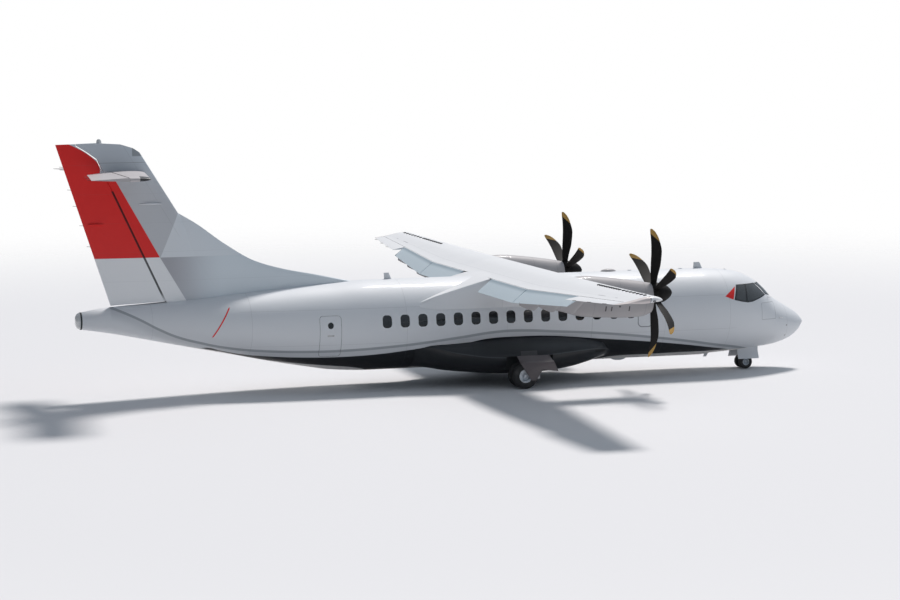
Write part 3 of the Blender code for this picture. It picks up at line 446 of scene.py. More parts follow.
def skinX(y, z):
    # how far forward the nose reaches at a width and height
    low, high = 9.4, 12.48
    for step in range(30):
        middle = (low + high) / 2
        low, high = (middle, high) if skinY(middle, z) > abs(y) else (low, middle)
    return low


def hullBody(low, high, grow, around, along):
    # a length of the hull's form, moved out from the skin by grow
    return sheetOf(lambda u, v: hullPoint(low + (high - low) * v, math.tau * u, grow), around, along)


def halfThickness(part, thickness):
    # the usual four-digit airfoil; part is a share of the chord
    poly = -0.1260 * part - 0.3516 * part ** 2 + 0.2843 * part ** 3 - 0.1015 * part ** 4
    return 5 * thickness * (0.2969 * math.sqrt(max(part, 0.0)) + poly)


def roundSection(u, halfAt, edge):
    # from the trailing edge over the top and back below: share of the chord, height
    part = 1 - math.cos(abs(u * 2 - 1) * math.pi / 2)
    half = max(halfAt(part), edge if part > 0.5 else 0.0)
    return part, half if u <= 0.5 else -half


def hingedSection(u, radius, length, edge=0.003):
    # about a hinge: a round nose, flat skins and a thin trailing edge; forward, up, share of the skin
    if 0.25 <= u <= 0.75:
        turn = math.pi / 2 - (u - 0.25) * math.tau
        return radius * math.cos(turn), radius * math.sin(turn), 0.0
    share = (0.25 - u) / 0.25 if u < 0.25 else (u - 0.75) / 0.25
    return -length * share, (1 if u < 0.25 else -1) * (radius * (1 - share) + edge * share), share


def ovalTube(rows, middle, around, along):
    # a closed tube of oval rings, from rows of x, top, bottom and half width
    at = smoothRows(rows)

    def place(u, v):
        x = between(rows, v)
        top, bottom, wide = at(x)
        up = (top - bottom) / 2 * math.cos(math.tau * u)
        return Vector((x, middle + wide * math.sin(math.tau * u), (top + bottom) / 2 + up))

    return sheetOf(place, around, along)


def wingHalf(part, thickness):
    # the wing's section is thinner behind the middle
    share = min(max((part - 0.35) / 0.42, 0.0), 1.0)
    return halfThickness(part, thickness) * (1 - 0.40 * share * share * (3 - 2 * share))


# finishes

def paintGrain(finish, extra=None, depth=0.0008):
    # a little unevenness in height and gloss; extra cuts lines in, and the broad noise is kept for dirt
    broad = finish.noise(0.9, 2.0)
    fine = finish.noise(38.0, 2.0)
    height = broad * 0.4 + fine * 0.05
    if extra is not None:
        height = height - extra
    finish.use("Roughness", 0.44 + broad * 0.12 + fine * 0.05)
    finish.use("Specular IOR Level", 0.30)
    finish.bump(height, depth)
    return broad


def bands(axis, rows):
    # lines across an axis, from rows of place and half width
    return sum(axis.band(*row) for row in rows)


livery = {
    "white": (0.71, 0.73, 0.755),
    "grime": (0.42, 0.41, 0.40),
    "belly": (0.012, 0.0135, 0.016),
    "keel": (0.80, 0.77, 0.74),
    "stripe": (0.25, 0.275, 0.30),
    "red": (0.80, 0.020, 0.018),
    "seam": (0.12, 0.13, 0.14),
    "bellyTop": (
        (-9.0, 1.35), (-7.97, 1.51), (-7.48, 1.396), (-6.85, 1.261), (-5.96, 1.172), (-5.04, 1.125),
        (-3.81, 1.112), (-2.54, 1.161), (-1.25, 1.285), (0.06, 1.375), (1.04, 1.53), (2.0, 1.556),
        (2.9, 1.54), (4.78, 1.361), (6.55, 1.179), (8.4, 0.929), (9.7, 0.694), (10.6, 0.45),
    ),
    "keelTop": (
        (-9.0, 1.62), (-7.46, 1.35), (-6.80, 1.184), (-6.17, 1.048), (-5.57, 0.963), (-4.96, 0.887),
        (-4.34, 0.825), (-3.71, 0.765), (-3.04, 0.66), (-2.5, 0.45), (0.0, 0.2), (4.5, 0.40),
        (5.05, 0.60), (5.4, 0.68), (6.75, 0.705), (7.8, 0.72), (8.9, 0.72), (10.6, 0.72),
    ),
    "stripeLine": (
        (-10.9, 2.86), (-10.5, 2.70), (-9.98, 2.457), (-9.39, 2.135), (-8.77, 1.861), (-8.15, 1.682),
        (-7.53, 1.533), (-6.91, 1.438), (-6.31, 1.379), (-5.09, 1.321), (-3.84, 1.318), (-2.57, 1.366),
        (-1.27, 1.458), (0.03, 1.599), (1.36, 1.74), (2.03, 1.745), (3.38, 1.656), (4.76, 1.549),
        (6.16, 1.387), (7.60, 1.185), (9.14, 0.924), (9.91, 0.79), (10.6, 0.60),
    ),
    # places along the hull and over the ground, each with its half width
    "joints": ((-6.60, 0.004), (-1.70, 0.004), (4.47, 0.008), (9.30, 0.004), (11.62, 0.004),
               (-9.6, 0.003), (7.0, 0.003), (1.6, 0.003)),
    "strakes": ((2.62, 0.003), (1.52, 0.003)),
    # low x, low z, high x, high z, corner radius, half width of the line
    "exit": (6.05, 1.70, 6.56, 2.61, 0.15, 0.014),
    "radioHatch": (10.52, 1.74, 11.10, 2.28, 0.03, 0.006),
}


def roundLine(finish, lowX, lowZ, highX, highZ, radius, half):
    # a thin line round a rounded rectangle in side view
    pastX = abs(finish.x - (lowX + highX) / 2) - ((highX - lowX) / 2 - radius)
    pastZ = abs(finish.z - (lowZ + highZ) / 2) - ((highZ - lowZ) / 2 - radius)
    offX, offZ = pastX.most(0.0), pastZ.most(0.0)
    away = (offX * offX + offZ * offZ).maths("SQRT")
    return (away + pastX.most(pastZ).least(0.0) - radius).band(0.0, half)


def makeHullPaint():
    finish = Finish("hullPaint", livery["white"], coat=0.05)
    x, y, z = finish.x, finish.y, finish.z
    bellyTop = x.curve(livery["bellyTop"], -9.0, 10.6, 4.0)
    keelTop = x.curve(livery["keelTop"], -9.0, 10.6, 4.0)
    stripeAt = x.curve(livery["stripeLine"], -10.9, 10.6, 4.0)
    within = x.rise(-10.88, -10.80) * x.rise(10.4, 10.2)
    belly = (bellyTop - z).rise(-0.006, 0.006) * x.rise(-8.1, -7.9) * x.rise(10.2, 10.0)
    keel = (keelTop - z).rise(-0.01, 0.01)
    stripe = (z - stripeAt).band(0.0, 0.030, 0.022) * within
    veil = (stripeAt - z).rise(-0.01, 0.05) * (stripeAt - z).rise(0.42, 0.10) * within
    strakes = bands(z, livery["strakes"]) * x.rise(-7.0, -6.9) * x.rise(9.6, 9.5)
    seams = (bands(x, livery["joints"]) + strakes).least(1.0)
    outlines = roundLine(finish, *livery["exit"]) + roundLine(finish, *livery["radioHatch"]) * 0.6
    outlines = outlines.least(1.0)
    slash = abs(x + 7.53 - (z - 2.30) * 0.62).rise(0.030, 0.018) * z.rise(1.84, 1.90) * z.rise(2.79, 2.72)
    slash = slash * (y.rise(0.1, 0.2) + y.rise(-0.1, -0.2))
    grime = paintGrain(finish, (seams + outlines) * 2.0, 0.0012).rise(0.35, 0.75) * z.rise(1.9, 0.7) * 0.10
    white = finish.mix(grime, livery["white"], livery["grime"])
    colour = finish.mix(veil * 0.22, white, livery["stripe"])
    colour = finish.mix(stripe * 0.75, colour, livery["stripe"])
    colour = finish.mix(keel, colour, livery["keel"])
    colour = finish.mix(belly * (1.0 - keel), colour, livery["belly"])
    colour = finish.mix((makeWedgeMask(finish) + slash).least(1.0), colour, livery["red"])
    colour = finish.mix((seams * 0.22 + outlines * 0.75).least(1.0), colour, livery["seam"])
    finish.use("Base Color", colour)
    return finish


def makeWedgeMask(finish):
    # the red triangle behind the flight deck's side window
    x, z = finish.x, finish.z
    rear = (x - 9.147 - (z - 2.561) * 1.48).rise(0.0, 0.012)
    front = (x - 9.445 - (z - 2.437) * 0.37).rise(0.0, -0.012)
    low = (z - 2.561 + (x - 9.147) * 0.40).rise(0.0, 0.012)
    return rear * front * low * abs(finish.y).rise(0.5, 0.6)


hullPaint = makeHullPaint()


def plainPaint(name, colour, coat=0.5):
    finish = Finish(name, colour, coat=coat)
    worn = paintGrain(finish).rise(0.35, 0.8) * 0.5
    finish.use("Base Color", finish.mix(worn, colour, tuple(c * 0.82 for c in colour)))
    return finish


lining = plainPaint("cabinLining", (0.46, 0.46, 0.45), coat=0.0)
bayPaint = plainPaint("bayPaint", (0.055, 0.060, 0.062), coat=0.0)
seamDark = plainPaint("seamDark", (0.035, 0.038, 0.042), coat=0.0)
whitePaint = plainPaint("whitePaint", livery["white"])


nacelleLook = {
    # the louvre colour is painted shade inside the louvres' slots
    "pale": (0.40, 0.385, 0.39), "worn": (0.32, 0.305, 0.31), "louvreShade": (0.04, 0.035, 0.035),
    # along the nacelle: place, half width
    "joints": ((3.42, 0.005), (5.12, 0.005)),
    # x, half width, z, half height
    "louvres": ((3.79, 0.020, 2.68, 0.08), (3.98, 0.018, 2.67, 0.07), (4.24, 0.030, 2.74, 0.028),
                (4.56, 0.018, 2.66, 0.075)),
    "hatch": (3.55, 2.86, 4.20, 3.30, 0.05, 0.004),
}


def makeNacellePaint():
    # pale cowlings with their joints, and louvres low on the outer sides whose slots are painted dark as
    # painted shade
    finish = Finish("nacellePaint", (0.44, 0.42, 0.42), coat=0.15)
    look, x, z = nacelleLook, finish.x, finish.z
    lines = bands(x, look["joints"]) + x.band(4.30, 0.004) * z.rise(2.75, 2.80)
    lines = (lines + z.band(3.06, 0.004) * x.rise(3.3, 3.4)).least(1.0)
    slots = sum(x.band(a, wide) * z.band(b, high) for a, wide, b, high in look["louvres"])
    slots = (slots * abs(finish.y).rise(4.20, 4.22)).least(1.0)
    worn = paintGrain(finish, (lines + slots).least(1.0) * 1.5, 0.0010).rise(0.35, 0.8) * 0.5
    colour = finish.mix(worn, look["pale"], look["worn"])
    marks = lines * 0.35 + roundLine(finish, *look["hatch"]) * 0.3
    colour = finish.mix(marks.least(1.0), colour, livery["seam"])
    # painted shade inside the louvres' slots
    finish.use("Base Color", finish.mix(slots * 0.85, colour, look["louvreShade"]))
    return finish


nacellePaint = makeNacellePaint()


def makeBladeBlack():
    # dark composite with moulded weave, and gold tips
    finish = Finish("bladeComposite", (0.014, 0.013, 0.013), 0.42)
    x, y, z = finish.x, finish.y, finish.z
    off = abs(y) - 4.03
    radius = (off * off + (z - 3.07) * (z - 3.07)).maths("SQRT")
    tip = (radius + (x - 5.52) * 0.9).rise(1.745, 1.757)
    weave = finish.noise(60.0, 2.0)
    colour = finish.mix(weave.rise(0.4, 0.7), (0.006, 0.005, 0.005), (0.013, 0.012, 0.011))
    gold = finish.mix(weave.rise(0.3, 0.8), (0.40, 0.235, 0.060), (0.52, 0.33, 0.11))
    finish.use("Base Color", finish.mix(tip, colour, gold))
    finish.use("Roughness", 0.56 + weave * 0.16)
    finish.use("Specular IOR Level", 0.18)
    finish.bump(weave, 0.0006)
    return finish


def makeRubber():
    finish = Finish("tyreRubber", (0.016, 0.016, 0.017), 0.8)
    grit = finish.noise(55.0, 3.0)
    dust = finish.noise(4.0, 2.0)
    dusty = dust.rise(0.45, 0.75) * 0.5
    finish.use("Base Color", finish.mix(dusty, (0.024, 0.024, 0.025), (0.060, 0.057, 0.053)))
    finish.use("Roughness", 0.62 + grit * 0.25)
    finish.bump(grit, 0.0008)
    return finish


def makeMetal(name, colour, roughness, metallic=0.85):
    finish = Finish(name, colour, roughness, metallic)
    smear = finish.noise(9.0, 3.0)
    grain = finish.noise(70.0, 2.0, (1.0, 0.15, 1.0))
    dark = tuple(c * 0.65 for c in colour)
    finish.use("Base Color", finish.mix(smear.rise(0.35, 0.8), colour, dark))
    finish.use("Roughness", roughness - 0.08 + grain * 0.2)
    finish.bump(grain, 0.0003)
    return finish


def makeGlass(name, colour, roughness):
    finish = Finish(name, colour, roughness, 0.0, 1.0)
    haze = finish.noise(3.0, 2.0)
    finish.use("Roughness", roughness + haze * 0.05)
    milky = tuple(c * 1.6 + 0.004 for c in colour)
    finish.use("Base Color", finish.mix(haze.rise(0.3, 0.8) * 0.6, colour, milky))
    return finish


bladeBlack = makeBladeBlack()
rubber = makeRubber()
wheelAlloy = makeMetal("wheelAlloy", (0.52, 0.56, 0.60), 0.36)
gearSteel = makeMetal("gearSteel", (0.45, 0.45, 0.46), 0.38, 0.6)
windowGlass = makeGlass("windowGlass", (0.010, 0.012, 0.014), 0.10)
deckGlass = makeGlass("deckGlass", (0.030, 0.034, 0.036), 0.05)
lampGlass = makeGlass("lampGlass", (0.55, 0.56, 0.56), 0.12)
greyLamp = makeGlass("greyLamp", (0.16, 0.155, 0.16), 0.16)
print("finishes ready")


# fuselage

windows = {"first": -2.352, "pitch": 0.5822, "count": 15, "middle": 2.195, "width": 0.30, "height": 0.40,
           "radius": 0.115, "inset": 0.012, "pocket": 1.33}
doors = (
    # name, node, side, low x, high x, low z, high z, low and high corner radius, body
    ("passengerDoor", "passenger_door", 1, -4.62, -3.87, 1.15, 2.90, 0.03, 0.12, "passenger_door_body"),
    ("serviceDoor", "service_door", -1, -4.50, -3.83, 1.15, 2.43, 0.10, 0.10, "airframe"),
    ("cargoDoor", "cargo_door", 1, 7.32, 8.595, 1.15, 2.68, 0.12, 0.03, "cargo_door_body"),
)
# ends, sill and head; the passenger door's foot swings down past its hinge, so its sill has more room
doorGap = {"moving": (0.018, 0.019), "fixed": (0.009, 0.009), "sill": 0.046}
throughSkin = (0.80, 1.60)


def windowOutline(k, grow=0.0):
    x = windows["first"] + windows["pitch"] * k
    wide, tall = windows["width"] / 2 + grow, windows["height"] / 2 + grow
    return roundBox(x - wide, windows["middle"] - tall, x + wide, windows["middle"] + tall, windows["radius"])


def outwards(outline, side, inner=throughSkin[0]):
    # a side view's outline run out through the skin of one side
    low, high = sorted((side * inner, side * throughSkin[1]))
    return prism(outline, "xz", low, high)


def makeHull():
    # the whole skin from tail cone to nose, with its doorways, rooms, bay and window pockets
    nose, tip = hull["nose"], hull["tip"]
    spots = [hull["tail"] + 0.21 * i for i in range(49)]    # short steps on the tail, long ones amidships
    spots += [-1.45 + 0.65 * i for i in range(1, 16)]
    spots += [8.3 + (nose - 8.3) * (i / 64) for i in range(1, 65)]
    spots += [12.496, tip]
    at = alongSpots(spots)

    def place(u, v):
        x = at(v)
        if x > nose:
            shrink = math.sqrt(max(0.0, 1 - ((x - nose) / (tip - nose)) ** 2))
            centre = Vector((x, 0.0, hull["tipZ"]))
            return centre + (hullPoint(nose, math.tau * u) - Vector((nose, 0.0, hull["tipZ"]))) * shrink
        return hullPoint(x, math.tau * u)

    skin = sheetOf(place, hull["around"], len(spots) - 1)
    finishes = [hullPaint, lining, bayPaint, seamDark]
    room = closed(trimmed(hullBody(*hull["cabin"], -hull["wall"], 72, 24), (0, 0, hull["floor"]), (0, 0, -1)))
    bmesh.ops.recalc_face_normals(room, faces=room.faces)
    tools = [(room, 1), (block(*hull["hold"]), 1), (block(*hull["noseBay"]), 2)]
    for name, node, side, lowX, highX, lowZ, highZ, lowRadius, highRadius, body in doors:
        ends, gap = doorGap["fixed" if body == "airframe" else "moving"]
        sill = doorGap["sill"] if node == "passenger_door" else gap
        outline = roundBox(lowX - ends, lowZ - sill, highX + ends, highZ + gap,
                           lowRadius + gap, highRadius + gap)
        tools.append((outwards(outline, side), 3))
    pockets = [outwards(windowOutline(k), side, windows["pocket"])
               for k in range(windows["count"]) for side in (1, -1)]
    tools.append((gather(pockets), 3))
    skin = carve(skin, tools, finishes)
    makePiece("fuselageSkin", skin, finishes, "airframe",
              ("nose_section", "forward_fuselage", "centre_fuselage", "rear_fuselage", "tail_fuselage"))


def makeDoors():
    finishes = [hullPaint, lining, bayPaint, seamDark]
    for name, node, side, lowX, highX, lowZ, highZ, lowRadius, highRadius, body in doors:
        outline = roundBox(lowX, lowZ, highX, highZ, lowRadius, highRadius)
        shell, inside = [hullBody(lowX - 0.3, highX + 0.3, grow, 160, 12) for grow in (0.0, -hull["wall"])]
        shell = carve(shell, [(inside, 1)], finishes[:2])
        parts = [carve(shell, [(outwards(outline, side), 3)], finishes, "INTERSECT")]
        if body != "airframe":
            z = lowZ if lowRadius < highRadius else highZ    # the hinge is at the edge with the tight corners
            start, end = [Vector((x, side * skinY(x, z), z)) for x in (lowX, highX)]
            parts.append(tinted(rod(start.lerp(end, 0.20), start.lerp(end, 0.80), 0.012, 24), 2))
        parts += doorFittings(side, (lowX + highX) / 2, lowZ + 0.52 * (highZ - lowZ), highX - lowX < 0.9)
        makePiece(name, gather(parts), finishes + [gearSteel, windowGlass], body, (node,))


def doorFittings(side, x, z, window):
    # a flush handle, and a small round window where the door is a person's
    plate = patch(roundBox(x - 0.11, z - 0.025, x + 0.11, z + 0.025, 0.02), "xz", side, 0.001, 0.004)
    parts = [tinted(plate, 4)]
    if window:
        pane = patch(roundBox(x - 0.09, z + 0.22, x + 0.09, z + 0.42, 0.085), "xz", side, 0.001, 0.003)
        parts.append(tinted(pane, 5))
    return parts


def patch(outline, plane, side, offset, thick, steps=24):
    # a plate that follows the skin inside a convex outline seen from the side or the front
    lowA, highA = min(p[0] for p in outline), max(p[0] for p in outline)
    lowB, highB = min(p[1] for p in outline), max(p[1] for p in outline)
    bm = bmesh.new()
    bmesh.ops.create_grid(bm, x_segments=steps, y_segments=steps, size=0.5)
    for vert in bm.verts:
        vert.co = ((vert.co.x + 0.5) * (highA - lowA) + lowA, (vert.co.y + 0.5) * (highB - lowB) + lowB, 0.0)
    middle = Vector((sum(p[0] for p in outline), sum(p[1] for p in outline))) / len(outline)
    for a, b in zip(outline, outline[1:] + outline[:1]):
        start, end = Vector(a), Vector(b)
        if (end - start).length < 1e-6:
            continue
        normal = Vector((end.y - start.y, start.x - end.x))
        if normal.dot(middle - start) > 0:
            normal = -normal
        trimmed(bm, (start.x, start.y, 0), (normal.x, normal.y, 0))
    if plane == "xz":
        outward, onSkin = Vector((0.0, side, 0.0)), lambda a, b: Vector((a, side * skinY(a, b), b))
    else:
        outward, onSkin = Vector((1.0, 0.0, 0.0)), lambda a, b: Vector((skinX(a, b), a, b))
    for vert in bm.verts:
        a, b = vert.co.x, vert.co.y
        point = onSkin(a, b)
        normal = (onSkin(a + 0.02, b) - point).cross(onSkin(a, b + 0.02) - point).normalized()
        if normal.dot(outward) < 0:
            normal = -normal
        vert.co = point + normal * offset
    bmesh.ops.recalc_face_normals(bm, faces=bm.faces)
    if sum((f.normal * f.calc_area() for f in bm.faces), Vector()).dot(outward) < 0:
        bmesh.ops.reverse_faces(bm, faces=bm.faces)
    bmesh.ops.solidify(bm, geom=bm.faces[:], thickness=thick)
    bmesh.ops.recalc_face_normals(bm, faces=bm.faces)
    return bm


def makeWindows():
    panes = [patch(windowOutline(k, 0.01), "xz", side, -windows["inset"], 0.006, 6)
             for k in range(windows["count"]) for side in (1, -1)]
    makePiece("cabinWindows", gather(panes), windowGlass, "airframe")


glazing = {
    "frame": ((9.655, 2.905), (9.475, 2.440), (9.717, 2.378), (9.98, 2.334), (10.186, 2.350), (10.366, 2.402),
              (10.60, 2.466), (10.775, 2.520), (10.42, 2.915)),
    "rearPane": ((9.700, 2.878), (9.530, 2.462), (9.72, 2.410), (9.905, 2.375), (9.975, 2.878)),
    "frontPane": ((10.025, 2.880), (9.960, 2.366), (10.186, 2.382), (10.366, 2.432), (10.58, 2.495),
                  (10.705, 2.540), (10.385, 2.888)),
    "screen": ((0.035, 2.880), (0.035, 2.462), (0.46, 2.480), (0.765, 2.548), (0.630, 2.880)),
    "screenFrame": ((0.0, 2.905), (0.0, 2.440), (0.47, 2.460), (0.80, 2.530), (0.650, 2.905)),
    # distance off the skin, thickness
    "frameLift": (0.004, 0.008), "paneLift": (0.009, 0.006),
}


def makeGlazing():
    # plates on the skin, the side ones drawn in side view and the screens in front view
    frames, panes = [], []
    for plates, sidePlates, screen, lift in ((frames, ("frame",), "screenFrame", "frameLift"),
                                             (panes, ("rearPane", "frontPane"), "screen", "paneLift")):
        for side in (1, -1):
            for title in sidePlates:
                plates.append(patch(list(glazing[title]), "xz", side, *glazing[lift]))
            plates.append(patch([(side * y, z) for y, z in glazing[screen]], "yz", 1, *glazing[lift]))
    makePiece("deckFrames", gather(frames), seamDark, "airframe")
    makePiece("deckWindows", gather(panes), deckGlass, "airframe")


makeHull()
makeDoors()
makeWindows()
makeGlazing()
print("fuselage ready")


# wing

wing = {
    "halfSpan": 12.33, "breakY": 4.90, "hairline": 0.0002, "tipRound": 0.17,
    "rootLead": Vector((3.05, 0.0, 3.50)), "tipLead": Vector((2.47, 12.33, 3.79)),
    "chords": (2.57, 1.41), "incidence": (4.5, 3.5), "thickness": (0.17, 0.13), "camber": 0.025,
    "hinge": 0.77, "noseGap": 0.004, "edge": 0.0035, "flapAngle": 28.0, "aileronAngle": 15.0,
}
# names, inner and outer end, angle at rest
surfaces = (
    ("innerFlap", "inner_flap", 1.50, 4.88, wing["flapAngle"]),
    ("outerFlap", "outer_flap", 4.93, 8.94, wing["flapAngle"]),
    ("aileron", "aileron", 8.97, 12.10, 0.0),
)

wingLook = {
    "pale": (0.79, 0.80, 0.815), "worn": (0.71, 0.73, 0.75), "boot": (0.66, 0.68, 0.70),
    # flap is painted shade on the lowered flaps, the flaps' front colour a painted shadow under the edge of
    # the fixed skin, and tip painted shade on the tip caps
    "line": (0.30, 0.32, 0.34), "flap": (0.56, 0.68, 0.75), "flapShadow": (0.22, 0.30, 0.36),
    "tip": (0.60, 0.55, 0.54), "tipLine": (0.10, 0.12, 0.16), "mark": (0.20, 0.20, 0.22),
    # shares of the chord, each spar with its half width and softness
    "spars": ((0.17, 0.0016, 0.0016), (0.62, 0.0016, 0.0016)), "dashes": 0.245, "patches": 0.615,
    # distances along the span
    "ribPitch": 0.62, "innerPitch": 0.21, "outerPitch": 0.18,
}


def makeWingPaint():
    # light grey skins with spars, ribs, darker boots, dashes and patches; flaps tinted blue-grey as painted
    # shade with a painted shadow along their fronts, and brownish tips as painted shade
    finish = Finish("wingPaint", (0.80, 0.81, 0.825), coat=0.1)
    look, x, out = wingLook, finish.x, abs(finish.y)
    rootLead, tipLead, (rootChord, tipChord) = wing["rootLead"].x, wing["tipLead"].x, wing["chords"]
    taper = (out - wing["breakY"]).most(0.0) / (wing["halfSpan"] - wing["breakY"])
    part = (rootLead - taper * (rootLead - tipLead) - x) / (rootChord - taper * (rootChord - tipChord))
    ribs = (out % look["ribPitch"]).rise(0.006, 0.003) * part.rise(0.10, 0.12)
    lines = (ribs * 0.5 + bands(part, look["spars"])).least(1.0)
    front = part.band(look["dashes"], 0.010, 0.003)
    dashes = (out % look["innerPitch"]).rise(0.015, 0.025) * out.rise(7.80, 7.82) * out.rise(9.92, 9.90)
    dashes += (out % look["outerPitch"]).rise(0.075, 0.085) * out.rise(10.02, 10.04) * out.rise(11.95, 11.93)
    patches = part.band(look["patches"], 0.008, 0.003) * bands(out, ((9.93, 0.28), (11.03, 0.09))).least(1.0)
    worn = paintGrain(finish, lines * 1.5, 0.0010).rise(0.4, 0.8) * 0.4
    flap = part.rise(0.772, 0.780) * out.rise(8.96, 8.95) * out.rise(1.40, 1.42)
    tipLine = out.rise(12.10, 12.13) * part.band(0.262, 0.008, 0.004)
    colour = finish.mix(worn, look["pale"], look["worn"])
    colour = finish.mix(part.rise(0.075, 0.070) * 0.55, colour, look["boot"])
    colour = finish.mix(lines * 0.30, colour, look["line"])
    # painted shade: the lowered flaps tinted blue-grey
    colour = finish.mix(flap * 0.75, colour, look["flap"])
    # painted shadow along the flaps' fronts, under the edge of the fixed skin
    colour = finish.mix(flap * part.rise(0.835, 0.785) * 0.6, colour, look["flapShadow"])
    # painted shade on the tip caps, brownish
    colour = finish.mix(out.rise(12.17, 12.21) * part.rise(0.26, 0.27), colour, look["tip"])
    colour = finish.mix(tipLine * 0.8, colour, look["tipLine"])
    colour = finish.mix((front * dashes * 0.75 + patches * 0.6).least(1.0), colour, look["mark"])
    finish.use("Base Color", colour)
    return finish


wingPaint = makeWingPaint()


def camberAt(part):
    # fullest at a fifth of the chord, then straight down to the trailing edge
    if part < 0.2:
        return wing["camber"] * (1 - ((part - 0.2) / 0.2) ** 2)
    return wing["camber"] * (1 - (part - 0.2) / 0.8)


def wingSection(y):
    share = max(0.0, (y - wing["breakY"]) / (wing["halfSpan"] - wing["breakY"]))
    lead = wing["rootLead"].lerp(wing["tipLead"], share)
    lead.y = y
    chord, tilt, thickness = [a + (b - a) * share
                              for a, b in (wing["chords"], wing["incidence"], wing["thickness"])]
    return lead, chord, math.radians(tilt), thickness


def wingPoint(y, part, offset):
    lead, chord, tilt, thickness = wingSection(y)
    back = part * chord
    up = camberAt(part) * chord + offset
    return Vector((lead.x - back * math.cos(tilt) - up * math.sin(tilt), y,
                   lead.z - back * math.sin(tilt) + up * math.cos(tilt)))


def wingSkin(y, u, shrink=1.0):
    lead, chord, tilt, thickness = wingSection(y)
    part, height = roundSection(u, lambda part: wingHalf(part, thickness) * chord, wing["edge"])
    return wingPoint(y, part, height * shrink)


def hingeAt(y):
    return wingPoint(y, wing["hinge"], 0.0)


def hingeRadius(y):
    lead, chord, tilt, thickness = wingSection(y)
    return wingHalf(wing["hinge"], thickness) * chord - 0.002


def makeWing():
    tipStart = wing["halfSpan"] - wing["tipRound"]
    tip = [tipStart + wing["tipRound"] * math.sin(math.pi / 2 * i / 8) for i in range(9)]
    root, end = wing["breakY"] + wing["hairline"], wing["breakY"] - wing["hairline"]
    outer = [root + (tip[0] - root) * i / 24 for i in range(24)] + tip
    panels = (("wingCentre", [-end + 2 * end * i / 24 for i in range(25)], ("wing_centre",), 0),
              ("wingOuterLeft", outer, ("wing_outer_left",), 1),
              ("wingOuterRight", outer, ("wing_outer_right",), -1))
    for name, spots, nodes, side in panels:
        at = alongSpots(spots)

        def place(u, v):
            # the tip thins to a round end and its edges draw in a little
            y = at(v)
            reach = max(0.0, (abs(y) - tipStart) / wing["tipRound"])
            point = wingSkin(abs(y), u, math.sqrt(max(0.02, 1 - reach ** 2.2)))
            if reach > 0:
                point.x += (wingPoint(abs(y), 0.45, 0).x - point.x) * 0.10 * reach ** 3
            point.y = y
            return point

        skin = sheetOf(place, 73, len(spots) - 1, blunt=True)
        skin = carve(skin, wingTools(side), [wingPaint, seamDark])
        if side:
            mirrored(skin, side)
        makePiece(name, skin, [wingPaint, seamDark], "airframe", nodes)


def wingTools(outerPanel):
    # the space behind the hinge line, below lips that reach over the round noses
    tools = []
    flap, split = wing["flapAngle"], wing["breakY"]
    spans = ((-split, split, flap),)
    if outerPanel:
        spans = ((split, 8.955, flap), (8.954, 12.115, wing["aileronAngle"]))
    for inner, outer, swing in spans:
        corners, ends = [], []
        for y in (inner, outer):
            centre, radius = hingeAt(abs(y)), hingeRadius(abs(y))
            centre.y = y
            below = radius * math.sin(math.radians(swing)) + 0.006
            above = 0.014 if swing > 20 else below
            spots = ((below, -0.6), (below, 0.0), (above, 0.0), (above, 0.6), (-1.3, 0.6), (-1.3, -0.6),
                     (below, -0.6))
            corners.append(alongSpots([centre + Vector((x, 0.0, z)) for x, z in spots]))
            ends.append((centre, radius + wing["noseGap"]))
        tools.append((sheetOf(lambda u, v: corners[0](u).lerp(corners[1](u), v), 6, 1), 1))
        tools.append((rod(ends[0][0], ends[1][0], ends[0][1], 72, ends[1][1]), 1))
    return tools


def surfaceAt(y, u, angle):
    # section of a flap or aileron about its hinge, following the wing's camber
    lead, chord, tilt, thickness = wingSection(y)
    radius = hingeRadius(y)
    forward, up, share = hingedSection(u, radius, (1 - wing["hinge"]) * chord)
    up -= camberAt(wing["hinge"]) * chord * share
    if u < 0.25:
        up += 0.10 * radius * math.sin(math.pi * share)
    angle += tilt
    return hingeAt(y) + Vector((forward * math.cos(angle) - up * math.sin(angle), 0.0,
                                forward * math.sin(angle) + up * math.cos(angle)))


def makeSurfaces():
    for title, name, inner, outer, angle in surfaces:
        turn = math.radians(angle)
        for sideName, side in sides:
            body = sheetOf(lambda u, v: surfaceAt(inner + (outer - inner) * v, u, turn), 65, 12, blunt=True)
            makePiece(title + sideName.capitalize(), mirrored(body, side), wingPaint,
                      "%s_%s_body" % (name, sideName), ("%s_%s" % (name, sideName),))


pods = {
    # shares of the flap's span, half width and the station that the rows are drawn for
    "spots": (0.12, 0.50, 0.88), "half": 0.062, "drawnAt": 5.41,
    # side view against the hinge: forward, low edge, high edge; the front part stays with the wing
    "rear": ((0.50, -0.125, -0.092), (0.34, -0.27, -0.090), (0.16, -0.43, -0.088), (0.045, -0.54, -0.085),
             (0.00, -0.555, -0.052), (-0.08, -0.552, -0.070), (-0.20, -0.51, -0.140), (-0.36, -0.44, -0.235),
             (-0.46, -0.385, -0.297)),
    "front": ((1.05, -0.10, -0.05), (0.85, -0.16, -0.05), (0.65, -0.18, -0.05), (0.52, -0.16, -0.05)),
}


def podBody(y, rows):
    # a slim keel, fullest in the middle; the flap's depth sets its upper edge
    centre = hingeAt(y)
    size = wingSection(y)[1] / wingSection(pods["drawnAt"])[1]
    depth = 0.5 + 0.5 * size
    rows = [(x * size, low * depth, high * size) for x, low, high in rows[::-1]]
    at = smoothRows(rows)

    def place(u, v):
        x = between(rows, v)
        low, high = at(x)
        half = pods["half"] * (0.25 + 0.75 * math.sin(math.pi * (0.08 + 0.84 * v)))
        down = math.cos(math.tau * u)
        across = half * math.sin(math.tau * u) * (1.0 - 0.45 * max(0.0, down))
        return centre + Vector((x, across, (low + high) / 2 - (high - low) / 2 * down))

    return sheetOf(place, 28, 24)


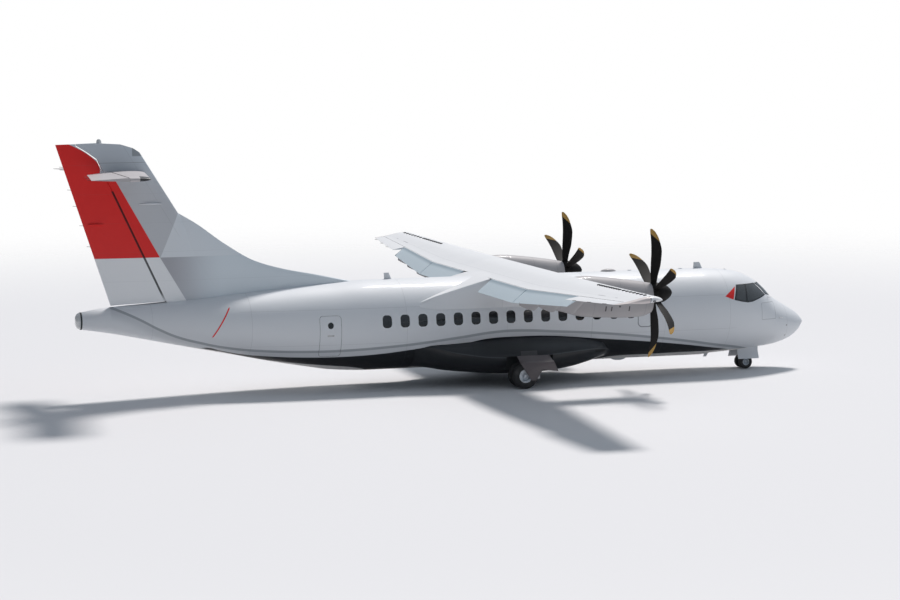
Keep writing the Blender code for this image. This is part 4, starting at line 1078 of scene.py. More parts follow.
def makePods():
    # slim fairings below the hinges of the outer flaps
    inner, outer = surfaces[1][2:4]
    spots = [inner + (outer - inner) * share for share in pods["spots"]]
    for sideName, side in sides:
        title = "flapPods" + sideName.capitalize()
        rears, fronts = [gather([mirrored(podBody(y, pods[part]), side) for y in spots])
                         for part in ("rear", "front")]
        makePiece(title, rears, nacellePaint, "outer_flap_%s_body" % sideName)
        makePiece(title + "Front", fronts, nacellePaint, "airframe")


fairing = {
    # x, low y, low z, shoulder y, shoulder z, crown
    "rows": (
        (-1.25, 1.300, 2.60, 1.215, 2.74, 2.80), (-0.60, 1.345, 2.50, 1.250, 2.96, 3.00),
        (0.00, 1.345, 2.50, 1.260, 3.13, 3.17), (0.50, 1.345, 2.50, 1.270, 3.27, 3.31),
        (1.00, 1.345, 2.50, 1.270, 3.40, 3.43), (1.50, 1.345, 2.50, 1.300, 3.50, 3.52),
        (2.10, 1.345, 2.50, 1.300, 3.56, 3.60), (2.70, 1.345, 2.50, 1.300, 3.50, 3.58),
        (3.20, 1.345, 2.50, 1.300, 3.34, 3.48), (3.80, 1.345, 2.50, 1.280, 3.12, 3.40),
        (4.50, 1.335, 2.50, 1.230, 2.90, 3.20), (4.75, 1.300, 2.60, 1.200, 2.74, 2.80),
    ),
}


def makeWingFairing():
    at = smoothRows(fairing["rows"])

    def ringAt(x):
        # up the side, round a tight shoulder and over the crown
        lowY, lowZ, highY, highZ, crown = at(x)
        foot, edge = Vector((lowY, lowZ)), Vector((highY, highZ - 0.035))
        half = [foot.lerp(edge, i / 8) for i in range(9)]
        half += [Vector((highY - 0.006, highZ - 0.014)), Vector((highY - 0.022, highZ - 0.003))]
        for i in range(10):
            inner = 1 - i / 9
            half.append(Vector(((highY - 0.045) * inner, highZ + (crown - highZ) * (1 - inner ** 2))))
        return [Vector((x, p.x, p.y)) for p in half] + [Vector((x, -p.x, p.y)) for p in half[-2::-1]]

    bm = sheetOf(lambda u, v: ringAt(between(fairing["rows"], v))[round(u * 40)], 41, 60, blunt=True)
    makePiece("wingFairing", bm, wingPaint, "airframe", ("wing_fairing",), 30.0)


makeWing()
makeSurfaces()
makePods()
makeWingFairing()
print("wing ready")


# nacelles and propellers

nacelle = {
    # x, top, bottom, half width; the intake is cut out of the chin
    "rows": (
        (1.16, 3.06, 2.92, 0.10), (1.70, 3.40, 2.79, 0.26), (2.40, 3.60, 2.62, 0.38),
        (3.20, 3.68, 2.415, 0.45), (3.90, 3.62, 2.37, 0.47), (4.60, 3.53, 2.34, 0.47),
        (5.10, 3.45, 2.36, 0.43), (5.40, 3.395, 2.46, 0.36),
    ),
    "intake": ((5.10, 2.635, 2.545, 0.15), (5.60, 2.660, 2.520, 0.21)),
    "propY": 4.03, "propZ": 3.07, "propX": 5.52,
}
propeller = {
    # radius, chord, forward offset, blade angle, thickness
    "rows": (
        (0.24, 0.17, 0.000, 84.0, 0.110), (0.50, 0.22, 0.010, 80.0, 0.070), (0.90, 0.31, 0.055, 75.0, 0.036),
        (1.30, 0.33, 0.075, 71.0, 0.024), (1.67, 0.26, 0.020, 68.0, 0.016), (1.91, 0.17, -0.060, 66.0, 0.011),
        (2.020, 0.06, -0.120, 65.0, 0.008),
    ),
    "blades": 6, "phase": 2.9, "tipShrink": (0.35, 0.4),
    # x, radius
    "spinner": ((5.6403, 0.325), (5.75, 0.312), (5.88, 0.268), (6.00, 0.195), (6.08, 0.118), (6.13, 0.040),
                (6.145, 0.0)),
    "drum": ((5.405, 0.085), (5.405, 0.315), (5.415, 0.325), (5.63, 0.325), (5.639, 0.318), (5.639, 0.085)),
    # radius, height over the hub's centre
    "cuff": ((0.0, 0.30), (0.100, 0.30), (0.100, 0.335), (0.088, 0.345), (0.0, 0.345)),
}


def makeNacelles():
    for sideName, side in sides:
        middle = side * nacelle["propY"]
        intake = ovalTube(nacelle["intake"], middle, 48, 4)
        body = carve(ovalTube(nacelle["rows"], middle, 64, 56), [(intake, 1)], [nacellePaint, bayPaint])
        makePiece("nacelle" + sideName.capitalize(), body, [nacellePaint, bayPaint], "airframe",
                  ("nacelle_" + sideName, "engine_" + sideName))


def bladePoint(hub, phase, u, v):
    # the blade's sections turn with the radius, and the last one is small
    rows = propeller["rows"]
    radius = between(rows, 1 - (1 - v) ** 1.6)
    chord, offset, angle, thickness = smoothRows(rows)(radius)
    if v > 0.999:
        chord, thickness = [size * share for size, share in zip((chord, thickness), propeller["tipShrink"])]
    turn = math.radians(angle)
    out = Vector((0.0, -math.sin(phase), math.cos(phase)))
    ahead = Vector((0.0, -math.cos(phase), -math.sin(phase)))
    forward = Vector((1.0, 0.0, 0.0))
    alongChord = ahead * math.cos(turn) + forward * math.sin(turn)
    across = forward * math.cos(turn) - ahead * math.sin(turn)
    a, b = sectionAt(u)
    return hub + out * radius + forward * offset + alongChord * (chord * a) + across * (thickness * b)


def sectionAt(u):
    # a lens section, round in front and thin behind
    turn = math.tau * u
    a = 0.5 * math.cos(turn)
    swell = math.sqrt(max(0.0, 0.5 + a)) * (0.5 - a) ** 0.62 * 1.55
    b = swell * (0.46 if math.sin(turn) > 0 else -0.28)
    return a, b


def makePropellers():
    forward = (1, 0, 0)
    for sideName, side in sides:
        hub = Vector((nacelle["propX"], side * nacelle["propY"], nacelle["propZ"]))
        body = "propeller_%s_body" % sideName
        parts = [closed(turned([(r, x - hub.x) for x, r in propeller["drum"]], hub, forward, 64))]
        for i in range(propeller["blades"]):
            phase = math.radians(propeller["phase"]) + math.tau * i / propeller["blades"]
            parts.append(sheetOf(lambda u, v: bladePoint(hub, phase, u, v), 36, 44))
            out = Vector((0.0, -math.sin(phase), math.cos(phase)))
            parts.append(turned(propeller["cuff"], hub, out, 32))
        makePiece("propeller" + sideName.capitalize(), gather(parts), bladeBlack, body,
                  ("propeller_" + sideName,))
        path = rounded([(r, x - hub.x, 0.0) for x, r in propeller["spinner"]], 2)
        cone = closed(turned([(p.x, p.y) for p in path], hub, forward, 64))
        makePiece("spinner" + sideName.capitalize(), cone, bladeBlack, body,
                  ("spinner_" + sideName,))


makeNacelles()
makePropellers()
print("power ready")


# tail

tail = {
    "dorsal": ((-8.95, 5.86), (-8.64, 5.67), (-8.11, 5.350), (-7.18, 4.670), (-6.23, 4.110), (-5.27, 3.820),
               (-4.31, 3.630), (-3.10, 3.375)),
    "lead": ((-8.64, 5.67), (-9.79, 7.54)), "trail": ((-10.80, 2.90), (-12.38, 7.835)), "thickness": 0.09,
    "edge": 0.005, "low": 2.40, "high": 8.00,
    "top": ((-9.55, 7.37), (-9.80, 7.56), (-10.02, 7.70), (-10.40, 7.82), (-11.16, 7.87), (-11.75, 7.852)),
    "rear": ((-11.75, 7.800), (-11.455, 7.622), (-11.120, 7.382), (-10.980, 7.07), (-8.640, 2.00)),
    "axis": (Vector((-9.146, 0.0, 2.93)), Vector((-11.031, 0.0, 7.05))), "radius": (0.136, 0.089),
    "rudder": ((-8.949, 2.50), (-11.018, 7.05), (-11.146, 7.353), (-11.471, 7.597), (-11.770, 7.783),
               (-11.775, 7.848), (-12.80, 7.830), (-12.80, 2.50)),
    "footGap": 0.040,
    # angles of the rudder at which the fin's corners are carved out of it, above a height
    "swings": (-28, -21, -14, 14, 21, 28), "swingZ": 7.06,
}
# root and tip: lead x, trail x, thickness
tailplane = {"z": 6.93, "half": 3.655, "root": (-9.65, -11.50, 0.097), "tip": (-10.12, -11.88, 0.068),
             "axisX": -10.78, "radius": (0.064, 0.054), "edge": 0.004, "tipRound": 0.07, "elevatorRoot": 0.16}


finLook = {
    "grey": (0.56, 0.575, 0.60), "worn": (0.51, 0.52, 0.545), "high": (0.62, 0.69, 0.75),
    # the hinge colour is a painted shadow in the rudder's hinge gap
    "foot": (0.86, 0.87, 0.88), "line": (0.16, 0.17, 0.18), "hinge": (0.020, 0.018, 0.020),
    # painted light on the front facet and painted shade on the root, each behind and in front
    "pale": ((0.74, 0.77, 0.80), (0.74, 0.80, 0.84)), "shaded": ((0.42, 0.42, 0.45), (0.70, 0.76, 0.80)),
    "footZ": 4.32, "ribPitch": 0.45,
    # front edge of the red above the tailplane: z, x
    "horn": ((7.05, -10.94), (7.33, -11.17), (7.58, -11.48), (7.72, -11.72), (7.90, -12.1)),
}


def makeFinPaint():
    # grey fin with the red field over the rudder, painted light on its front facet, painted shade on the root
    # and a painted shadow along the rudder's hinge gap
    finish = Finish("finPaint", (0.45, 0.47, 0.50), coat=0.2)
    look, x, z = finLook, finish.x, finish.z
    foot = z.rise(look["footZ"] + 0.01, look["footZ"] - 0.01)
    frontLine = x + 9.26 + (z - 4.33) * 0.5526
    lower = frontLine.rise(0.006, -0.006) * z.rise(7.06, 7.05)
    hornAt = z.curve(look["horn"], 7.05, 7.90, -13.0)
    upper = (x - hornAt).rise(0.006, -0.006) * z.rise(7.05, 7.06)
    red = z.rise(4.322, 4.334) * (lower + upper).least(1.0)
    red = red - red * z.rise(6.95, 6.96) * x.rise(-11.05, -11.04)
    # painted light: the front facet lighter than the rest of the fin
    litFacet = (x + 9.24 - (z - 4.32) * 0.435).rise(-0.01, 0.01) * z.rise(4.31, 4.33)
    # painted shade on the root below the fin's foot line
    root = (x + 9.26 + (z - 4.33) * 0.59).rise(-0.008, 0.008) * foot
    fade = x.rise(-9.2, -7.2)
    cap = z.band(7.26, 0.005) * x.rise(-11.2, -11.1)
    spar = (x + 8.64 + (z - 5.67) * 0.60).band(-0.42, 0.004) * z.rise(4.9, 5.0)
    patch = (x + 9.85).band(0.0, 0.19, 0.02) * z.rise(7.44, 7.47) * (z + (x + 9.85) * 0.45).rise(7.66, 7.63)
    lines = (cap + spar + (z % look["ribPitch"]).rise(0.006, 0.003) * 0.5).least(1.0)
    # painted shadow of the hinge gap: a dark band along the rudder's hinge line
    hinge = (x + 9.146 + (z - 2.93) * 0.4575).band(0.046, 0.030, 0.008)
    hinge = hinge * z.rise(2.9, 3.3) * z.rise(6.40, 6.38)
    worn = paintGrain(finish, lines * 1.5, 0.0010).rise(0.4, 0.8) * 0.35
    grey = finish.mix(worn, look["grey"], look["worn"])
    grey = finish.mix(z.rise(6.2, 7.7) * 0.7, grey, look["high"])
    colour = finish.mix(foot, grey, look["foot"])
    colour = finish.mix(litFacet, colour, finish.mix(fade * 0.5, *look["pale"]))
    colour = finish.mix(root, colour, finish.mix(fade, *look["shaded"]))
    colour = finish.mix(red, colour, livery["red"])
    colour = finish.mix((lines * 0.22 + cap * 0.4 + patch * 0.6).least(1.0), colour, look["line"])
    finish.use("Base Color", finish.mix(hinge * 0.85, colour, look["hinge"]))
    return finish


finPaint = makeFinPaint()


def lineAt(line, z):
    (x0, z0), (x1, z1) = line
    return x0 + (x1 - x0) * (z - z0) / (z1 - z0)


def finBody():
    # the whole fin and rudder section, foot to tip
    def place(u, v):
        z = tail["low"] + (tail["high"] - tail["low"]) * v
        lead = lineAt(tail["lead"], z)
        chord = lead - lineAt(tail["trail"], z)
        part, y = roundSection(u, lambda part: halfThickness(part, tail["thickness"]) * chord, tail["edge"])
        return Vector((lead - part * chord, y, z))
    return sheetOf(place, 65, 40, blunt=True)


def dorsalBody():
    # the fin's long root, thin at the crest and wide at its foot below the skin
    top = smoothRows(sorted(tail["dorsal"]))

    def place(u, v):
        x = -8.95 + 5.83 * v
        crest = top(x)[0]
        foot = hullAt(x)[0] - 0.06
        base = 0.040 + 0.075 * max(0.0, min(1.0, (-5.2 - x) / 3.2))
        share = math.cos(math.pi * (u - 0.5))
        half = base * (1 - share ** 3) + 0.030 * (1 - share ** 12)
        y = math.copysign(half, u - 0.5) if abs(u - 0.5) > 1e-6 else 0.0
        return Vector((x, y, foot + (crest - foot) * share))

    return sheetOf(place, 33, 70, blunt=True)


def makeFin():
    low, high = tail["axis"]
    finishes = [finPaint, seamDark]
    sideView = ((-2.0, 2.0), (-2.0, 7.37)) + tail["top"] + tail["rear"]
    fin = carve(finBody(), [(prism(sideView, "xz", -0.5, 0.5), 0)], finishes, "INTERSECT")
    start = low.lerp(high, -0.15)
    lowRadius, highRadius = tail["radius"]
    noseRadius = lowRadius + (lowRadius - highRadius) * 0.15
    seat = rod(start, high, noseRadius + wing["noseGap"], 72, highRadius + wing["noseGap"])
    fin = carve(fin, [(seat, 1), (tailplaneBody(0.0005), 1)], finishes)
    for face in fin.faces:
        if abs(face.normal.y) < 0.3 and face.calc_center_median().z > 7.3:
            face.material_index = 0
    swept = []
    for turn in tail["swings"]:
        swing = Matrix.Rotation(math.radians(turn), 4, high - low)
        swing = Matrix.Translation(low) @ swing @ Matrix.Translation(-low)
        tool = fin.copy()
        bmesh.ops.transform(tool, matrix=Matrix.Translation((-0.002, 0.0, -0.002)) @ swing, verts=tool.verts)
        swept.append((closed(trimmed(tool, (0, 0, tail["swingZ"]), (0, 0, -1))), 0))
    makePiece("finSkin", gather([fin, dorsalBody()]), finishes, "airframe", ("fin",), 40.0)
    outline = prism(tail["rudder"], "xz", -0.5, 0.5)
    rudder = carve(finBody(), [(outline, 0)], finishes, "INTERSECT")
    nose = rod(start, high.lerp(low, 0.01), noseRadius, 48, highRadius + 0.0004)
    rudder = carve(rudder, [(nose, 0)], finishes, "UNION")
    foot = hullBody(hull["tail"], -6.0, tail["footGap"], 96, 20)
    rudder = carve(rudder, [(foot, 1)] + swept, finishes)
    makePiece("rudderSkin", rudder, finishes, "rudder_body", ("rudder",), 40.0)


def tailSection(y):
    share = y / tailplane["half"]
    return [a + (b - a) * share for a, b in zip(tailplane["root"], tailplane["tip"])]


def tailplaneBody(grow=0.0):
    # from tip to tip with thinning ends, cut off where the elevators' noses turn
    tipRound = tailplane["tipRound"]
    tipStart = tailplane["half"] - tipRound
    halfSpots = [tipStart * i / 20 for i in range(21)]
    halfSpots += [tipStart + tipRound * math.sin(math.pi / 2 * i / 6) for i in range(1, 7)]
    spots = [-y for y in halfSpots[:0:-1]] + halfSpots
    at = alongSpots(spots)

    def place(u, v):
        y = at(v)
        lead, trail, thickness = tailSection(abs(y))
        chord = lead - trail
        reach = max(0.0, (abs(y) - tipStart) / tipRound)
        part, height = roundSection(u, lambda part: halfThickness(part, thickness) * chord, tailplane["edge"])
        height = height * math.sqrt(max(0.06, 1 - reach ** 2)) + (grow if u <= 0.5 else -grow)
        return Vector((lead - part * chord + (grow if part < 0.001 else 0.0), y, tailplane["z"] + height))

    body = sheetOf(place, 57, len(spots) - 1, blunt=True)
    tools = [(block((-13.0, -4.0, 6.0), (tailplane["axisX"] + 0.032 - grow, 4.0, 8.0)), 1)]
    for side in (1, -1):
        start, end = [Vector((tailplane["axisX"], side * y, tailplane["z"]))
                      for y in (-0.01, tailplane["half"] + 0.1)]
        inner, outer = [radius + wing["noseGap"] - grow for radius in tailplane["radius"]]
        tools.append((rod(start, end, inner, 64, outer), 1))
    return carve(body, tools, [tailPaint, seamDark])


tailLook = {
    "grey": (0.50, 0.475, 0.48), "worn": (0.44, 0.42, 0.425), "line": (0.3, 0.31, 0.33),
    "boot": (0.035, 0.037, 0.042),
    "spars": ((0.14, 0.002, 0.002), (0.55, 0.002, 0.002)), "ribPitch": 0.40,
}


def makeTailPaint():
    # grey like the fin, with dark boots along the outer leading edges
    finish = Finish("tailPaint", tailLook["grey"], coat=0.1)
    look, out = tailLook, abs(finish.y)
    part = (finish.x * -1.0 - 9.65 - out * 0.1286) / 1.85
    boot = part.rise(0.180, 0.172) * out.rise(2.90, 2.92)
    ribs = (out % look["ribPitch"]).rise(0.005, 0.003) * part.rise(0.1, 0.12)
    lines = (ribs * 0.5 + bands(part, look["spars"])).least(1.0)
    worn = paintGrain(finish, lines * 1.5, 0.0010).rise(0.4, 0.8) * 0.4
    colour = finish.mix(worn, look["grey"], look["worn"])
    colour = finish.mix(lines * 0.25, colour, look["line"])
    finish.use("Base Color", finish.mix(boot, colour, look["boot"]))
    return finish


def elevatorPoint(u, v, side):
    y = tailplane["elevatorRoot"] + (tailplane["half"] - tailplane["elevatorRoot"]) * v
    rootRadius, tipRadius = tailplane["radius"]
    radius = rootRadius + (tipRadius - rootRadius) * y / tailplane["half"]
    forward, up = hingedSection(u, radius, tailplane["axisX"] - tailSection(y)[1])[:2]
    slant = 0.50 * (1 - v)
    return Vector((tailplane["axisX"] + forward, side * (y - slant * forward), tailplane["z"] + up))


def makeTailplane():
    makePiece("tailplaneSkin", tailplaneBody(), [tailPaint, seamDark], "airframe",
              ("tailplane",))
    for sideName, side in sides:
        body = sheetOf(lambda u, v: elevatorPoint(u, v, side), 57, 14, blunt=True)
        makePiece("elevator" + sideName.capitalize(), body, tailPaint, "elevator_body",
                  ("elevator_" + sideName,))


tailPaint = makeTailPaint()
makeFin()
makeTailplane()
print("tail ready")


# landing gear

blister = {
    # x, lowest z, widest z, widest y, top z, share of the full form
    "rows": (
        (-1.40, 0.600, 1.28, 1.265, 1.40, 0.12), (-1.10, 0.570, 1.29, 1.330, 1.42, 0.35),
        (-0.75, 0.530, 1.27, 1.440, 1.42, 0.70), (-0.35, 0.480, 1.17, 1.555, 1.43, 0.95),
        (0.20, 0.420, 1.07, 1.715, 1.46, 1.00), (0.60, 0.385, 1.02, 1.815, 1.49, 1.00),
        (1.05, 0.340, 0.97, 1.900, 1.53, 1.00), (1.75, 0.300, 0.965, 1.970, 1.56, 1.00),
        (2.70, 0.310, 0.99, 1.965, 1.57, 1.00), (3.40, 0.360, 1.03, 1.890, 1.53, 1.00),
        (3.90, 0.425, 1.065, 1.790, 1.48, 1.00), (4.40, 0.530, 1.075, 1.650, 1.40, 0.95),
        (4.75, 0.610, 1.04, 1.470, 1.32, 0.80), (5.00, 0.690, 1.00, 1.270, 1.22, 0.60),
        (5.14, 0.750, 0.97, 1.120, 1.12, 0.32), (5.27, 0.790, 0.95, 1.000, 1.05, 0.00),
    ),
    "flat": 0.55,    # half width of the keel's flat
    "bay": ((1.40, 1.60, 0.0), (2.95, 2.40, 1.00)),
}


blisterLook = {
    # upper and edge are painted light above and along the crease, and the recess colour painted shade
    "upper": (0.024, 0.028, 0.033), "edge": (0.075, 0.085, 0.095), "panel": (0.085, 0.085, 0.088),
    "line": (0.004, 0.004, 0.004), "recessShade": (0.0015, 0.0015, 0.0015),
    "crease": ((-1.4, 1.32), (-0.742, 1.286), (-0.352, 1.172), (0.163, 1.076), (1.048, 0.969), (1.736, 0.963),
               (2.696, 0.992), (3.6, 1.045), (4.406, 1.070), (4.75, 1.040), (5.2, 0.975)),
    "seams": ((0.40, 0.004), (3.25, 0.004), (4.30, 0.004)),
    "rim": (1.87, 0.965, 2.43, 1.155, 0.01, 0.006),
}


def makeBlisterPaint():
    # dark belly paint with a painted highlight along the crease and painted light on the face above it, a
    # pale panel above the leg and painted shade in the recess in the tip
    finish = Finish("blisterPaint", livery["belly"], coat=0.3)
    look, x, z = blisterLook, finish.x, finish.z
    above = z - x.curve(look["crease"], -1.4, 5.2, 2.0)
    # painted highlight along the crease
    edge = above.band(0.004, 0.010, 0.012) * x.rise(-1.0, 0.2)
    panel = x.band(2.15, 0.28) * z.band(1.06, 0.095)
    # painted shade in the recess at the blister's tip
    recessShade = x.band(4.78, 0.24, 0.02) * above.band(-0.065, 0.040, 0.012)
    seams = bands(x, look["seams"])
    worn = paintGrain(finish, seams, 0.0010).rise(0.3, 0.8)
    colour = finish.mix(worn, livery["belly"], tuple(c * 1.6 for c in livery["belly"]))
    # painted light: the face above the crease lighter
    colour = finish.mix(above.rise(-0.01, 0.02) * 0.6, colour, look["upper"])
    colour = finish.mix(edge * 0.5, colour, look["edge"])
    colour = finish.mix((panel * 0.55).least(1.0), colour, look["panel"])
    lines = roundLine(finish, *look["rim"]) * 0.6 + seams * 0.4
    colour = finish.mix(lines.least(1.0), colour, look["line"])
    finish.use("Base Color", finish.mix(recessShade, colour, look["recessShade"]))
    return finish


blisterPaint = makeBlisterPaint()


def makeBlisters():
    at = smoothRows(blister["rows"])
    flat = blister["flat"]

    def ringAt(x):
        # from the keel round the belly to a crease at the widest line, then over the top
        lowZ, wideZ, wideY, topZ, full = at(x)
        top, bottom, wide = hullAt(x)
        middle = (top + bottom) / 2
        start, end = math.asin(flat / wide), math.acos((middle - wideZ) / wide)
        keel = bottom + (lowZ - bottom) * full
        ring = [Vector((0.0, keel)), Vector((0.28, keel + 0.02))]
        for i in range(27):
            turn, skin = math.pi / 2 * i / 26, start + (end - start) * i / 26
            form = Vector((flat + (wideY - flat) * math.sin(turn), wideZ - (wideZ - lowZ) * math.cos(turn)))
            belly = Vector((wide * math.sin(skin), middle - wide * math.cos(skin)))
            ring.append(belly.lerp(form, full))
        edge = ring[-1]
        corner = Vector((wideY - 0.05, wideZ + (topZ - wideZ) * 0.62))
        inner = Vector((min(1.30, wideY - 0.06) - 0.10, topZ))
        ring += [edge.lerp(corner, i / 16).lerp(corner.lerp(inner, i / 16), i / 16) for i in range(1, 17)]
        ring += [Vector((0.60, topZ)), Vector((0.0, lowZ + 0.30))]
        return [Vector((x, p.x, p.y)) for p in ring]

    for sideName, side in sides:
        body = sheetOf(lambda u, v: ringAt(between(blister["rows"], v))[round(u * 46)], 47, 94, blunt=True)
        body = mirrored(carve(body, [(block(*blister["bay"]), 1)], [blisterPaint, bayPaint]), side)
        makePiece("gearBlister" + sideName.capitalize(), body, [blisterPaint, bayPaint], "airframe",
                  ("gear_fairing_" + sideName,), 24.0)


wheels = {
    # radius, width, spacing, rim radius
    "main": (0.4065, 0.224, 0.42, 0.215), "nose": (0.225, 0.16, 0.34, 0.115),
    "mainHub": Vector((1.90, 2.05, 0.4065)), "noseHub": Vector((10.38, 0.0, 0.225)),
    "axle": 0.045, "bolts": 9,
    # a rim's outer face and its cap: share of the rim's radius, depth below its edge
    "dish": ((0.0, 0.055), (0.30, 0.055), (0.34, 0.075), (0.62, 0.060), (0.70, 0.018), (0.90, 0.010),
             (0.93, 0.0)),
    "cap": ((0.0, 0.02), (0.20, 0.022), (0.24, 0.034), (0.24, 0.06)),
}


def tyreProfile(radius, width, rim):
    # over both walls and the tread with its four grooves; distances across are shares of the half width
    half = width / 2
    wall = ((rim, 0.80), (rim + 0.02, 0.90), (radius * 0.80, 1.0), (radius * 0.90, 0.93),
            (radius * 0.965, 0.74))
    path = [(r, -half * share) for r, share in wall]
    for k in range(-2, 3):
        middle = half * 0.26 * k
        path += [(radius, middle - half * 0.10), (radius, middle + half * 0.10)]
        if k < 2:
            path += [(radius - 0.007, middle + half * 0.115), (radius - 0.007, middle + half * 0.145)]
    path += [(r, half * share) for r, share in wall[::-1]]
    return path + path[:1]


def makeWheels(prefix, hub, wheel, body, nodes):
    # two tyres with dished rims, bolts and caps, on one axle
    radius, width, spacing, rim = wheel
    across = Vector((0.0, 1.0, 0.0))
    reach = across * (spacing / 2 - width * 0.4)
    tyres, rims = [], []
    for sign in (-1, 1):
        centre = hub + across * (sign * spacing / 2)
        tyres.append(turned(tyreProfile(radius, width, rim), centre, across, 72))
        half = width / 2 * 0.80
        dish = [(rim * share, sign * (half - depth)) for share, depth in wheels["dish"]]
        dish += [(rim - 0.0005, sign * half), (rim - 0.0005, -sign * half), (wheels["axle"], -sign * half)]
        rims.append(turned(dish, centre, across, 72))
        for i in range(wheels["bolts"]):
            turn = math.tau * i / wheels["bolts"]
            spot = centre + Vector((math.cos(turn), 0.0, math.sin(turn))) * (rim * 0.50)
            spot += across * (sign * (half - 0.068))
            rims.append(rod(spot, spot + across * (sign * 0.022), rim * 0.052, 6, bevel=0.002))
        cap = [(rim * share, sign * (half - depth)) for share, depth in wheels["cap"]]
        rims.append(turned(cap, centre, across, 40))
    rims.append(rod(hub - reach, hub + reach, wheels["axle"], 32))
    makePiece(prefix + "Tyres", gather(tyres), rubber, body, nodes[1:], 40.0)
    makePiece(prefix + "Rims", gather(rims), wheelAlloy, body, nodes[:1])


mainGear = {
    "top": Vector((2.52, 1.74, 1.0)), "foot": Vector((2.38, 2.05, 0.33)),
    "shockTop": Vector((2.43, 2.04, 0.82)), "doorY": 2.395, "doorThick": 0.018,
    # the leg door's side view
    "door": ((1.73, 1.10), (1.70, 0.83), (2.07, 0.27), (2.22, 0.26), (2.44, 0.60), (2.96, 0.53), (2.80, 0.90),
             (2.80, 1.10)),
}
noseGear = {
    "bayTop": 1.15,
    # radius, height over the bay's top and over the hub
    "leg": ((0.0408, -0.65), (0.065, -0.65), (0.065, -0.60), (0.074, -0.59), (0.074, -0.55), (0.065, -0.54),
            (0.065, -0.03)),
    "collar": ((0.04, 0.17), (0.056, 0.17), (0.056, 0.22), (0.04, 0.22)),
    # a door's front view
    "door": ((0.302, 0.86), (0.302, 0.62), (0.42, 0.36), (0.434, 0.36), (0.318, 0.62), (0.318, 0.86)),
}


def makeMainGear():
    across = Vector((0.0, 1.0, 0.0))
    top, foot, shockTop, hub = mainGear["top"], mainGear["foot"], mainGear["shockTop"], wheels["mainHub"]
    shockFoot, link = hub.lerp(foot, 0.42), top.lerp(foot, 0.45)
    hose = Vector((0.08, 0.02, 0.05))
    for sideName, side in sides:
        parts = [
            block(top - Vector((0.2, 0.1, 0.06)), top + Vector((0.2, 0.1, -0.0003)), 0.012),
            rod(top - Vector((0, 0, 0.04)), foot, 0.065, 32),
            rod(top.lerp(foot, 0.52), top.lerp(foot, 0.62), 0.078, 32, bevel=0.006),
            rod(foot - across * 0.07, foot + across * 0.07, 0.075, 32, bevel=0.006),
            rod(foot, hub, 0.052, 24, 0.045),
            rod(hub - across * 0.06, hub + across * 0.06, 0.085, 32, bevel=0.006),
            rod(shockFoot, shockTop, 0.024, 24),
            rod(shockFoot.lerp(shockTop, 0.42), shockTop, 0.040, 24, bevel=0.004),
            rod(shockTop + Vector((0, 0, 0.01)), top.lerp(foot, 0.28), 0.040, 24),
            rod(link, (link.x, mainGear["doorY"] - 0.0003, link.z), 0.022, 20),
            rod(top.lerp(foot, 0.1) + Vector((hose.x, hose.y, 0)), foot + hose, 0.008, 12),
            rod(foot + hose, hub + Vector((0.03, 0.0, 0.09)), 0.008, 12),
        ]
        makePiece("mainLeg" + sideName.capitalize(), mirrored(gather(parts), side), gearSteel, "airframe",
                  ("main_leg_" + sideName,))
        makeLegDoor(sideName, side)
        nodes = ["main_%s_%s" % (sideName, part) for part in ("hub", "tyre_inner", "tyre_outer")]
        makeWheels("main" + sideName.capitalize(), Vector((hub.x, side * hub.y, hub.z)), wheels["main"],
                   "main_wheels_%s_body" % sideName, nodes)


def makeLegDoor(sideName, side):
    # a flat plate outside the leg, bent in at its top towards the bay
    inner, outer = mainGear["doorY"], mainGear["doorY"] + mainGear["doorThick"]
    bend = [(inner, 0.20), (inner, 0.80), (inner - 0.012, 0.828), (1.995, 0.992), (2.003, 1.009),
            (outer - 0.008, 0.842), (outer, 0.808), (outer, 0.20)]
    cutter = prism(mainGear["door"], "xz", 1.5, 2.6)
    plate = carve(prism(bend, "yz", 1.60, 3.10), [(cutter, 0)], [gearSteel], "INTERSECT")
    makePiece("legDoor" + sideName.capitalize(), mirrored(plate, side), legDoorPaint, "airframe",
              ("main_leg_door_" + sideName,), 25.0)


def makeNoseGear():
    hub, up, across = wheels["noseHub"], Vector((0, 0, 1)), Vector((0, 1, 0))
    base = Vector((hub.x, 0.0, noseGear["bayTop"]))
    leg = [
        block(base - Vector((0.12, 0.12, 0.05)), base + Vector((0.12, 0.12, -0.0003)), 0.01),
        turned(noseGear["leg"], base, up, 40),
        rod((hub.x, 0.0, 0.78), (10.72, 0.0, 1.09), 0.03, 24),
        block((10.66, -0.08, 1.05), (10.78, 0.08, 1.1497), 0.01),
    ]
    makePiece("noseLeg", gather(leg), gearSteel, "airframe", ("nose_leg",))
    fork = [
        rod((hub.x, 0.0, 0.24), (hub.x, 0.0, 0.7797), 0.04, 40),
        rod(hub - across * 0.055, hub + across * 0.055, 0.075, 40, bevel=0.005),
        turned(noseGear["collar"], hub, up, 40),
        block(hub + Vector((0.03, -0.02, 0.12)), hub + Vector((0.11, 0.02, 0.16)), 0.006),
    ]
    makePiece("noseFork", gather(fork), gearSteel, "nose_steering_body", ("nose_fork",))
    makeWheels("nose", hub, wheels["nose"], "nose_wheels_body",
               ("nose_hub", "nose_tyre_left", "nose_tyre_right"))
    for sideName, side in sides:
        belly = hullBody(9.8, 11.0, 0.0003, 96, 8)
        door = carve(prism(noseGear["door"], "yz", 10.02, 10.76), [(belly, 0)], [whitePaint])
        makePiece("noseGearDoor" + sideName.capitalize(), mirrored(door, side), whitePaint, "airframe",
                  ("nose_gear_door_" + sideName,), 25.0)


legDoorPaint = plainPaint("legDoorPaint", (0.115, 0.098, 0.102))
makeBlisters()
makeMainGear()
makeNoseGear()
print("gear ready")


# small fittings

